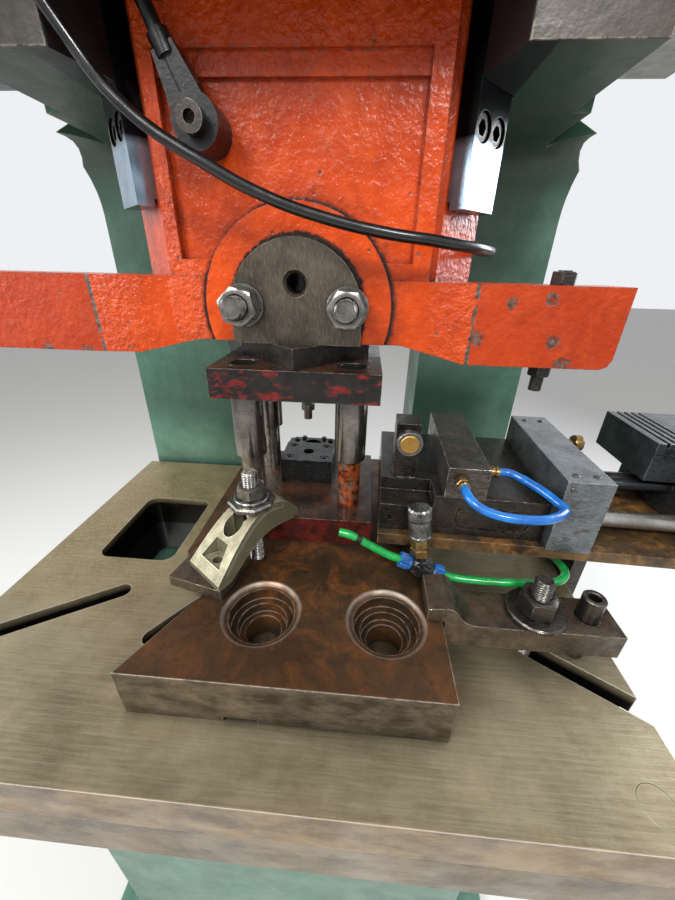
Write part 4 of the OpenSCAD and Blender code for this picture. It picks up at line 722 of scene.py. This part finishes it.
# %% Steels of single pieces
blue_steel = steel(
    "gib_steel", "#8fa6b8", "#5f7384", gloss=(0.14, 0.28), patch=60, scratch=0.3,
    stretch=(8, 8, 0.6), worn="#dfe9f1", oil=0.75, dents=0.03, greasy=("z", 1238, 1245, "#0e0e11"))
forged = steel(
    "black_forging", "#141416", "#0a0a0b", metallic=0.2, gloss=(0.26, 0.42), patch=14,
    scratch=0.08, worn="#5c6066", edge=0.5, oil=0.7, dents=0.25)
cap_iron = steel(
    "cap_iron", "#665d51", "#4a4238", "#3a2d22", 0.2, metallic=0.75, gloss=(0.26, 0.4), patch=40,
    scratch=0.2, stretch=(5, 5, 0.8), worn="#c9bfae", edge=0.9, oil=0.6, dents=0.12)
oily_block = steel(
    "oily_block", "#4a443d", "#2c2824", "#3b2a1d", 0.35, metallic=0.7, gloss=(0.2, 0.4), patch=26,
    scratch=0.25, stretch=(1, 6, 6), worn="#d6cfc2", edge=1.0, oil=0.85, dents=0.16)
black_oil = steel(
    "black_oil", "#211d1a", "#100e0d", "#3b291b", 0.3, metallic=0.55, gloss=(0.16, 0.34), patch=22,
    scratch=0.2, worn="#a79e92", edge=0.8, oil=0.85, dents=0.2)
die_steel = steel(
    "die_steel", "#2b2e30", "#1a1c1e", "#4a3b2c", 0.15, gloss=(0.16, 0.32), patch=18, scratch=0.3,
    worn="#c8c8c4", oil=0.8)
clamp_oil = steel(
    "clamp_oil", "#5a4f43", "#352d26", "#4a3320", 0.4, metallic=0.6, gloss=(0.16, 0.42), patch=16,
    scratch=0.25, worn="#c4b9a8", edge=0.95, oil=0.85, dents=0.25)
end_block_iron = steel(
    "end_block_iron", "#6d757a", "#474c50", "#3b2a1d", 0.25, metallic=0.7, gloss=(0.18, 0.36),
    patch=30, scratch=0.3, stretch=(1, 6, 6), worn="#e3e1dc", edge=1.0, oil=0.85, dents=0.3)
carriage_steel = steel(
    "carriage_steel", "#394046", "#1d2125", metallic=0.6, gloss=(0.16, 0.32), patch=22,
    scratch=0.25, worn="#b5b3ae", edge=0.9, oil=0.8, dents=0.15)
plate_oil = steel(
    "feeder_plate_oil", "#6e5536", "#3d2d20", "#8a5f2a", 0.45, metallic=0.45, gloss=(0.16, 0.4),
    patch=34, scratch=0.2, worn="#b9a88c", oil=0.8, dents=0.25)
bush_steel = steel(
    "bush_steel", "#8e8882", "#655f5a", metallic=0.95, gloss=(0.14, 0.26), patch=20, scratch=0.3,
    stretch=(1, 1, 9), worn="#d5d0ca", oil=0.6, dents=0.02)
TABLE_IRON = table_iron()
OWN_FINISH = {
    "frame": frame_enamel("frame_casting", casting=True),
    "base_plate": frame_enamel("floor_plate_enamel", floor_plate=True),
    "bolster_plate": TABLE_IRON, "riser_plate": riser_rust(),
    "upper_shoe": shoe_paint("upper_shoe_paint", 1031, 1062, 0.1),
    "lower_shoe": shoe_paint("lower_shoe_paint", 869, 902, 0.36, "#571613", "#2c0b09"),
    "shank_plate": black_oil, "arch_clamp": cast_clamp(), "guide_posts": post_steel(),
    "guide_bushings": bush_steel, "gib_left": blue_steel, "gib_right": blue_steel,
    "link_rod": forged, "pump_lever": forged, "shank_clamp_cap": cap_iron, "die_block": die_steel,
    "die_plate": die_steel, "feeder_body": black_oil, "feeder_clamp_block": oily_block,
    "feeder_end_block": end_block_iron, "feeder_carriage": carriage_steel,
    "feeder_plate": plate_oil, "finger_clamp": clamp_oil, "packing_block": clamp_oil,
    "green_stub": air_tube("stub_tube", "#1fbf5c", "#118a3f", dark_band=stub_route[-3])}


def finish_of(node):
    """A node's own finish, or else the finish of its slot."""
    return OWN_FINISH.get(node) or FINISHES[slot_of[node]]


for node, line in air_lines.items():
    line.data.materials.append(finish_of(node))
print("mixed", len({*FINISHES.values(), *OWN_FINISH.values()}), "finishes")

# %% [markdown]
# ## Edges
# No real part has a perfectly sharp edge: castings are rounded, ground blocks have a small
# chamfer, and that thin strip of edge is what catches the light. Each piece is copied from its
# solid, its flat faces are joined up again, and every sharp edge is bevelled by its own amount.

# %% Edge maker
BEVEL_FROM = math.radians(28)
SMOOTH_UP_TO = math.radians(32)
WELD = 0.02 * MM
COPLANAR = math.radians(0.6)


def rounded_copy(node, edge):
    """A copy of a node's mesh with its sharp edges bevelled, in millimetres."""
    shape = bmesh.new()
    shape.from_mesh(frame["nodes"][node].data)
    bmesh.ops.remove_doubles(shape, verts=shape.verts, dist=WELD)
    bmesh.ops.dissolve_limit(shape, angle_limit=COPLANAR, verts=shape.verts, edges=shape.edges)
    mesh = bpy.data.meshes.new(node + "_finished")
    shape.to_mesh(mesh)
    shape.free()
    piece = bpy.data.objects.new(node + "_finished", mesh)
    bpy.context.scene.collection.objects.link(piece)
    bevel = piece.modifiers.new("edges", "BEVEL")
    bevel.width = edge * MM
    bevel.segments = 2
    bevel.limit_method = "ANGLE"
    bevel.angle_limit = BEVEL_FROM
    return piece


def apply_modifiers(piece, keep_all=False):
    """The piece's mesh becomes what its modifiers make of it."""
    bpy.context.view_layer.update()
    state = bpy.context.evaluated_depsgraph_get()
    piece.data = bpy.data.meshes.new_from_object(
        piece.evaluated_get(state), preserve_all_data_layers=keep_all, depsgraph=state)
    piece.modifiers.clear()
    return piece.data


def dress(node, edge):
    """The finished piece that stands for a node. Large faces shade flat, and only edges round."""
    piece = rounded_copy(node, edge)
    mesh = apply_modifiers(piece)
    mesh.shade_smooth()
    mesh.set_sharp_from_angle(angle=SMOOTH_UP_TO)
    piece.modifiers.new("flat_faces", "WEIGHTED_NORMAL").keep_sharp = True
    mesh = apply_modifiers(piece, keep_all=True)
    mesh.materials.clear()
    mesh.materials.append(finish_of(node))
    take_place(piece, node)


# %% [markdown]
# ## Threads, nuts and washers
# A stud's thread shows clearly this close, so it is modelled. Rings of points are stacked along
# the stud, and each point's radius follows the thread as it winds. A nut is stacked the same way:
# its ring is a hexagon, and its chamfer is the place where a flat cone meets the hexagon, which
# gives the curved lines that every nut shows. Washers and plugs are plain stacks of circles.

# %% Turned shapes
SQUARE = ((1, 1), (-1, 1), (-1, -1), (1, -1))


def hexagon(across, share):
    """The radius of a hexagon, this wide across its flats, at a share of a turn."""
    angle = 2 * math.pi * share
    return across / 2 / math.cos((angle + math.pi / 6) % (math.pi / 3) - math.pi / 6)


def ring(sides, z, radius_at):
    """Points round the z axis, whose radius is given for each share of a turn."""
    points = []
    for side in range(sides):
        r, angle = radius_at(side / sides), 2 * math.pi * side / sides
        points.append((r * math.cos(angle), r * math.sin(angle), z))
    return points


class Turned:
    """Points and faces of turned pieces, gathered for one object. Everything is in millimetres."""

    def __init__(self):
        self.points = []
        self.faces = []

    def stack(self, place, rings, close=False):
        """Rings of equal length, joined one to the next, and capped unless closed on itself."""
        start, sides = len(self.points), len(rings[0])
        for ring in rings:
            self.points.extend(place @ Vector(point) for point in ring)
        count = len(rings)
        for row in range(count if close else count - 1):
            near, far = start + row * sides, start + (row + 1) % count * sides
            for side in range(sides):
                after = (side + 1) % sides
                self.faces.append((near + side, near + after, far + after, far + side))
        if not close:
            self.faces.append(tuple(start + side for side in reversed(range(sides))))
            self.faces.append(tuple(start + (count - 1) * sides + side for side in range(sides)))

    def turn(self, place, profile, sides=48, close=False):
        """A profile of (radius, height) turned about the place's own z axis."""
        self.stack(place, [ring(sides, z, lambda share: r) for r, z in profile], close)

    def washer(self, place, outer, inner, thick, chamfer=0.5):
        r, b = outer / 2, inner / 2
        self.turn(place, [(b, 0), (r - chamfer, 0), (r, chamfer), (r, thick - chamfer),
                          (r - chamfer, thick), (b, thick)], sides=56, close=True)

    def stud(self, place, diameter, length, pitch):
        """A threaded stud with a chamfered end."""
        rows = int(length / pitch * 6)
        rings = []
        for row in range(rows + 1):
            z = length * row / rows
            chamfer = diameter / 2 - 0.75 * pitch + (length - z) * 0.9

            def thread(share):
                wind = (z / pitch - share) % 1.0
                return min(diameter / 2 - 0.6 * pitch * abs(2 * wind - 1), chamfer)

            rings.append(ring(40, z, thread))
        self.stack(place, rings)

    def nut(self, place, across, high, bore):
        """A hexagon nut whose corners are cut by a flat cone, with a countersunk bore."""
        circle = across / 2 * 0.93
        slope = math.tan(math.radians(30))
        sink = 1.2

        def level(radius, height_at):
            points = ring(72, 0, radius if callable(radius) else lambda share: radius)
            return [(x, y, height_at(math.hypot(x, y))) for x, y, z in points]

        def drop(r):
            return max(0.0, r - circle) * slope

        def flats(share):
            return hexagon(across, share)

        self.stack(place, [
            level(bore / 2, lambda r: 0.0), level(circle, lambda r: 0.0),
            level(flats, drop), level(flats, lambda r: high - drop(r)),
            level(circle, lambda r: high), level(bore / 2 + sink, lambda r: high),
            level(bore / 2, lambda r: high - sink)], close=True)

    def knurled(self, place, diameter, length, teeth, depth, chamfer):
        """A barrel with straight knurling and chamfered ends."""
        sides = teeth * 2
        cuts = ((0, chamfer), (chamfer, 0), (length - chamfer, 0), (length, chamfer))
        self.stack(place, [
            ring(sides, z, lambda share: diameter / 2 - cut - depth * (round(share * sides) % 2))
            for z, cut in cuts])

    def socket_screw(self, place, across, high, key):
        """A round head with a hexagon socket."""
        edge = 0.5
        self.stack(place, [
            ring(36, z, radius_at) for z, radius_at in (
                (0, lambda share: across / 2), (high - edge, lambda share: across / 2),
                (high, lambda share: across / 2 - edge), (high, lambda share: hexagon(key, share)),
                (high * 0.3, lambda share: hexagon(key, share)))])

    def block(self, place, width, depth, height):
        """A block with chamfered upper edges, standing on its place."""
        chamfer = 0.8
        self.stack(place, [
            [(x * (width / 2 - cut), y * (depth / 2 - cut), level) for x, y in SQUARE]
            for cut, level in ((0, 0), (0, height - chamfer), (chamfer, height))])

    def piece(self, name, finish):
        mesh = bpy.data.meshes.new(name)
        mesh.from_pydata([point * MM for point in self.points], [], self.faces)
        mesh.validate()
        shape = bmesh.new()
        shape.from_mesh(mesh)
        bmesh.ops.recalc_face_normals(shape, faces=shape.faces)
        shape.to_mesh(mesh)
        shape.free()
        mesh.shade_smooth()
        mesh.set_sharp_from_angle(angle=SMOOTH_UP_TO)
        mesh.materials.append(finish)
        made = bpy.data.objects.new(name, mesh)
        bpy.context.scene.collection.objects.link(made)
        return made


def pointing(start, direction, turn=0.0):
    """A place at start, in millimetres, whose own z axis points along direction."""
    aim = Vector(direction).to_track_quat("Z", "Y").to_matrix().to_4x4()
    return Matrix.Translation(Vector(start)) @ aim @ Matrix.Rotation(math.radians(turn), 4, "Z")


def stands_for(piece, node, also=()):
    """The piece takes the place of a node, and the others go with it."""
    take_place(piece, node)
    for part in also:
        rides(part, node)
    finished.add(node)


# %% Shank clamp studs and nuts
FRONT = (0, -1, 0)
CAP_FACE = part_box("shank_clamp_cap")[0].y / MM
STUD_X, STUD_Z, STUD_ROOT = 48.0, 1116.0, 29.8
WASHER = 5
greasy_steel = steel("greasy_steel", "#8f8d88", "#5f5c57", "#3c2f25", 0.15, gloss=(0.15, 0.32),
                     oil=0.7, patch=9)
shank_clamp = Turned()
for side, turn in ((-1, 14), (1, 27)):
    x = side * STUD_X
    shank_clamp.washer(pointing((x, CAP_FACE, STUD_Z), FRONT), 38, 20.6, WASHER)
    shank_clamp.nut(pointing((x, CAP_FACE - WASHER, STUD_Z), FRONT, turn), 30, 20, 19.6)
    shank_clamp.stud(pointing((x, STUD_ROOT, STUD_Z), FRONT), 20, STUD_ROOT - CAP_FACE + 38, 2.5)
stands_for(shank_clamp.piece("shank_clamp_nuts", greasy_steel), "clamp_fasteners")

# %% Arch clamp stud
ARCH_STUD = (-38.23, -106.83)
ARCH_ROOT, ARCH_SEAT = 830.2, 937.65
ARCH_WASHER, ARCH_NUT = ARCH_SEAT + 6, ARCH_SEAT + 9
UP = (0, 0, 1)
arch_set = Turned()
arch_set.stud(pointing((*ARCH_STUD, ARCH_ROOT), UP), 16, ARCH_SEAT + 35.8 - ARCH_ROOT, 2.0)
arch_set.turn(pointing((*ARCH_STUD, ARCH_SEAT), UP, 22.5),
              [(8.2, 0), (22.4, 0), (23.4, 1), (23.4, 4.2), (22, 6), (8.2, 6)], sides=8, close=True)
arch_set.turn(pointing((*ARCH_STUD, ARCH_WASHER), UP),
              [(8.2, 0), (16.5, 0), (17, 0.5), (17, 2.4), (16.4, 3), (8.2, 3)], close=True)
arch_set.nut(pointing((*ARCH_STUD, ARCH_NUT), UP, 10), 24, 13, 15.6)
stands_for(arch_set.piece("arch_clamp_nut", greasy_steel), "arch_clamp_fasteners")

# %% Finger clamp nut and jack screw
FINGER_STUD = (234.83, -152.5)
JACK = (281.83, -152.5)
BOLSTER_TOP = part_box("bolster_plate")[1].z / MM
CLAMP_TOP, FINGER_ROOT = 867.0, 799.2
finger_set = Turned()
finger_set.stud(pointing((*FINGER_STUD, FINGER_ROOT), UP), 17, CLAMP_TOP + 40.8 - FINGER_ROOT, 2.5)
finger_set.washer(pointing((*FINGER_STUD, CLAMP_TOP), UP), 52, 17.4, WASHER, chamfer=1.2)
finger_set.nut(pointing((*FINGER_STUD, CLAMP_TOP + WASHER), UP, 22), 30, 18, 16.8)
square_head = [[(14 * x, 14 * y, z) for x, y in SQUARE] for z in (0, 13)]
finger_set.stack(pointing((*FINGER_STUD, BOLSTER_TOP - 33.7), UP, -123), square_head)
finger_set.turn(pointing((*JACK, BOLSTER_TOP), UP),
                [(8.5, 0), (9.8, 1.2), (9.8, 70), (9, 71), (6, 71), (5.4, 70.2), (5.4, 55),
                 (5.2, 54)], sides=56)
stands_for(finger_set.piece("finger_clamp_nut", FINISHES["dark_steel"]), "finger_clamp_fasteners")
print("made the clamp screws")

# %% [markdown]
# ## Air fittings
# The tee under the feeder is a black moulded block with an eight-sided cap, two ribbed blue
# collars that grip the tubes, a brass hexagon and a knurled coupler. Each is turned or stacked
# from rings along its own axis, so they share the leaning axes that the photograph shows.

# %% Tee, coupler and collars
BACK = (0, 1, 0)
LEFT, RIGHT = (-1, 0, 0), (1, 0, 0)
UPRIGHT = (-0.1212, 0.1045, 0.9871)


def up_the_tee(distance):
    """A point on the tee's leaning upright."""
    return step_from(TEE, UPRIGHT, distance)


def feeder_pointing(x, y, z, direction):
    """A place on the turned feeder, pointing along a direction of its own."""
    return pointing(on_feeder(x, y, z), Matrix.Rotation(FEEDER_TURN, 3, "Z") @ Vector(direction))


brass = steel("fitting_brass", "#8f7443", "#5f4a28", gloss=(0.2, 0.38), patch=7, worn="#cdb47c",
              oil=0.8)
coupler_steel = steel("coupler_steel", "#6d6b68", "#434240", gloss=(0.2, 0.36), patch=9,
                      worn="#c9c7c2", oil=0.7)
collar_blue = moulded("collar_blue", "#1d5fa8", "#12407a", gloss=0.22, coat=0.3)
tee_black = steel("tee_black", "#16171a", "#0c0d0f", metallic=0.1, gloss=(0.18, 0.32), patch=8,
                  scratch=0.1, worn="#7d8186", edge=0.9, oil=0.4)
tee = Turned()
tee.turn(pointing((TEE[0], TEE[1] - 5.5, TEE[2]), BACK, 22.5),
         [(7.5, 0), (9.6, 0), (12, 3.2), (12, 13.5), (9.5, 16.5)], sides=8)
tee.turn(pointing(from_tee(-15), TEE_ARM), [(6.2, 0), (6.5, 0.4), (6.5, 29.6), (6.2, 30)])
tee.turn(pointing(TEE, UPRIGHT), [(6.5, 0), (6.5, 15.5)])
tee.turn(pointing((TEE[0] - 6.3, TEE[1] + 5.4, TEE[2] + 51.3), BACK), [(5, 0), (5, 15.6)])
brass_hexagon = Turned()
brass_hexagon.turn(pointing(up_the_tee(14), UPRIGHT, 10),
                   [(8.6, 0), (9.8, 1.2), (9.8, 8), (8.4, 9), (8.4, 11), (9.8, 12), (9.8, 19.2),
                    (8.8, 20.6)], sides=6)
coupler = Turned()
coupler.turn(pointing(up_the_tee(34), UPRIGHT),
             [(9.5, 0), (11, 1), (11, 3.2), (10.2, 4), (10.2, 5), (11, 5.8), (11, 18), (10.4, 19),
              (10.4, 20)])
coupler.knurled(pointing(up_the_tee(53.8), UPRIGHT), 22, 12, teeth=44, depth=0.45, chamfer=1.4)
collars = Turned()
for start, way in ((from_tee(-23), TEE_ARM), (from_tee(23), tuple(-a for a in TEE_ARM))):
    collars.knurled(pointing(start, way), 15.6, 8.6, teeth=14, depth=0.9, chamfer=0.9)
    collars.turn(pointing(step_from(start, way, 8.4), way),
                 [(6.9, 0), (7.4, 0.4), (7.4, 2.4), (6.9, 2.8)])
line_ends = Turned()
line_ends.turn(pointing(hose_route[0], UP), [(7.4, 0), (8, 0.6), (8, 25.4), (7.4, 26)])
line_ends.block(pointing(step_from(hose_route[0], UP, 6), UP), 20, 16, 14)
line_ends.turn(pointing(hose_route[-1], BACK), [(6.4, 0), (7.6, 1), (8, 2.4), (8, 11.9)])
line_ends.turn(pointing(green_route[-1], RIGHT), [(5.2, 0), (6, 0.8), (6, 11.8)])
bronze_ends = Turned()
bronze_ends.turn(feeder_pointing(54, -8, BLUE_Z, BACK),
                 [(4.4, 0), (5.2, 0.5), (5.2, 3.6), (4.6, 4.2), (4.6, 5.2)])
bronze_ends.turn(feeder_pointing(54, -2.6, BLUE_Z, BACK), [(5.2, 0), (6, 0.8), (6, 8.4)], sides=6)
bronze_ends.turn(feeder_pointing(94, 30, BLUE_Z - 2, LEFT),
                 [(4.4, 0), (5.4, 0.5), (5.4, 3.6), (4.6, 4.4), (4.6, 5.4)])
bronze_ends.turn(feeder_pointing(88.4, 30, BLUE_Z - 2, LEFT), [(5.6, 0), (6, 0.5), (6, 8.8)])
stands_for(tee.piece("tee", tee_black), "tube_fittings", also=(
    brass_hexagon.piece("tee_hexagon", brass), coupler.piece("tee_coupler", coupler_steel),
    collars.piece("tee_collars", collar_blue), line_ends.piece("line_ends", coupler_steel),
    bronze_ends.piece("block_fittings", brass)))

# %% Valve knob, glands and screws
VALVE_Z = 1004
END_FACE_X, ROD_Z = 180, 928
BLOCK_SEAT, DIE_SEAT = 925.1, 926.05
rim = Turned()
rim.turn(feeder_pointing(5, 16.8, VALVE_Z, BACK),
         [(9.4, 0), (11.4, 0), (12, 0.6), (12, 7.6), (11.4, 8.2), (6, 8.2), (6, 28), (5.6, 28.6)])
stands_for(rim.piece("valve_rim", coupler_steel), "feed_valve_knob")
disc = Turned()
disc.turn(feeder_pointing(5, 16, VALVE_Z, BACK), [(8.2, 0), (9, 0.7), (9, 4)])
rides(disc.piece("valve_disc", FINISHES["bronze"]), "feed_valve_knob")
gland = Turned()
gland.washer(feeder_pointing(END_FACE_X, 79, 946, RIGHT), 22, 12.6, 7)
for rod_y in (36, 122):
    gland.washer(feeder_pointing(END_FACE_X, rod_y, ROD_Z, RIGHT), 25, 17.6, 3)
gland.turn(feeder_pointing(END_FACE_X, 92, 984, RIGHT),
           [(4, 0), (4, 5), (8, 5.6), (9, 7), (9, 13), (8, 14.4)])
rides(gland.piece("feeder_glands", brass), "feeder_end_block")
screws = Turned()
for x in (-22, 22):
    for y in (4, 36):
        screws.socket_screw(pointing((x, y, BLOCK_SEAT), UP), 10, 8.2, 5)
for x, y in ((-26, 52), (26, 52), (-24, 70), (24, 70), (0, 50), (-14, 76), (14, 76)):
    screws.socket_screw(pointing((x, y, DIE_SEAT), UP), 7, 3.2, 3.4)
rides(screws.piece("die_screws", FINISHES["dark_steel"]), "die_block")
block_screws = Turned()
for x in (-8, 26):
    block_screws.socket_screw(feeder_pointing(x, 14, 928, FRONT), 6.6, 5, 3.2)
for x, y in ((151, 8), (169, 8), (151, 140), (169, 140)):
    block_screws.socket_screw(feeder_pointing(x, y, 989.05, UP), 6, 0.9, 3)
block_screws.socket_screw(feeder_pointing(146, -4.05, 981, FRONT), 4.6, 0.8, 2.2)
rides(block_screws.piece("feeder_screws", FINISHES["dark_steel"]), "feeder_body")

# %% [markdown]
# ## Plugs over the table's screws
# The screws that hold the table lie deep in counterbores, and the photograph shows a clean table
# top. So each hole is closed here with a plug of the same iron, flush with the top.

# %% Table plugs
plugs = Turned()
for x, y, z in TABLE_SCREWS:
    plugs.turn(pointing((x, y, TABLE_TOP - 0.8), UP), [(12.9, -14), (12.9, 0.5), (12.6, 0.75)])
rides(plugs.piece("table_plugs", TABLE_IRON), "bolster_plate")
print("made the fittings, screws and plugs")

# %% All the other pieces
THIN_EDGE = 0.5
EDGE = {
    "frame": 4.0, "ram": 3.0, "base_plate": 2.0, "riser_plate": 1.2, "bolster_plate": 0.8,
    "arch_clamp": 1.5, "finger_clamp": 1.5, "flywheel_guard": 1.5, "front_cover": 0.8,
    "shank_clamp_cap": 1.2, "motor": 1.0, "control_box": 2.0,
    "feeder_end_block": 1.4, "feeder_clamp_block": 1.2, "feeder_body": 0.8, "feeder_carriage": 1.0,
    "oil_pump": 2.0, "start_button": 1.5, "stop_button": 2.5}
dressed = [node for node in body_of if node not in finished]
for node in dressed:
    dress(node, EDGE.get(node, THIN_EDGE))
print("dressed", len(dressed), "nodes")

# %% [markdown]
# ## Floor and light
# The studio is plain: a pale floor, a soft sky and large lamps, so that every colour renders as
# it was mixed. The lamps stand in front and above, where the shop's lights were.

# %% Studio
bpy.ops.mesh.primitive_plane_add(size=30, location=(0, 0, 0))
floor = bpy.context.object
floor.name = "studio_floor"
floor_finish = Finish("studio_floor", specular=0.2)
floor_finish.colour("#dcdad6").rough(0.8)
floor.data.materials.append(floor_finish.material)

world = bpy.data.worlds.new("studio_sky")
world.use_nodes = True
bpy.context.scene.world = world
sky = world.node_tree.nodes["Background"]
sky.inputs["Color"].default_value = (0.95, 0.97, 1.0, 1.0)
# The sky lights the press at one level and shows behind it and in its metal at a brighter one
SKY_LIGHT, SKY_SEEN = 0.5, 0.9
bench = Bench(world.node_tree)
rays = bench.step("LightPath", {}).outputs
seen = bench.either(rays["Is Camera Ray"], rays["Is Glossy Ray"])
bench.give(sky.inputs["Strength"], bench.scaled(seen, SKY_LIGHT, SKY_SEEN))


def lamp(name, place, target, size, power, colour=(1, 1, 1)):
    """A large square lamp that looks at a target."""
    light = bpy.data.lights.new(name, "AREA")
    light.size = size
    light.energy = power
    light.color = colour
    stand = bpy.data.objects.new(name, light)
    stand.location = place
    stand.rotation_euler = (Vector(target) - Vector(place)).to_track_quat("-Z", "Y").to_euler()
    bpy.context.scene.collection.objects.link(stand)


lamp("shop_lamp", (-1.1, -1.7, 2.7), (0, 0, 1.05), 0.9, 54, (1.0, 0.97, 0.92))
lamp("window_right", (2.3, 0.9, 1.9), (0.1, 0, 1.0), 1.4, 66, (0.9, 0.95, 1.0))
lamp("window_left", (-2.0, -0.5, 1.7), (0, 0, 1.05), 1.0, 30, (0.92, 0.96, 1.0))
lamp("tube_lamp", (0.55, -1.5, 2.3), (0.05, 0, 1.0), 0.35, 20)
bpy.context.scene.view_settings.view_transform = "Standard"
print("studio set")
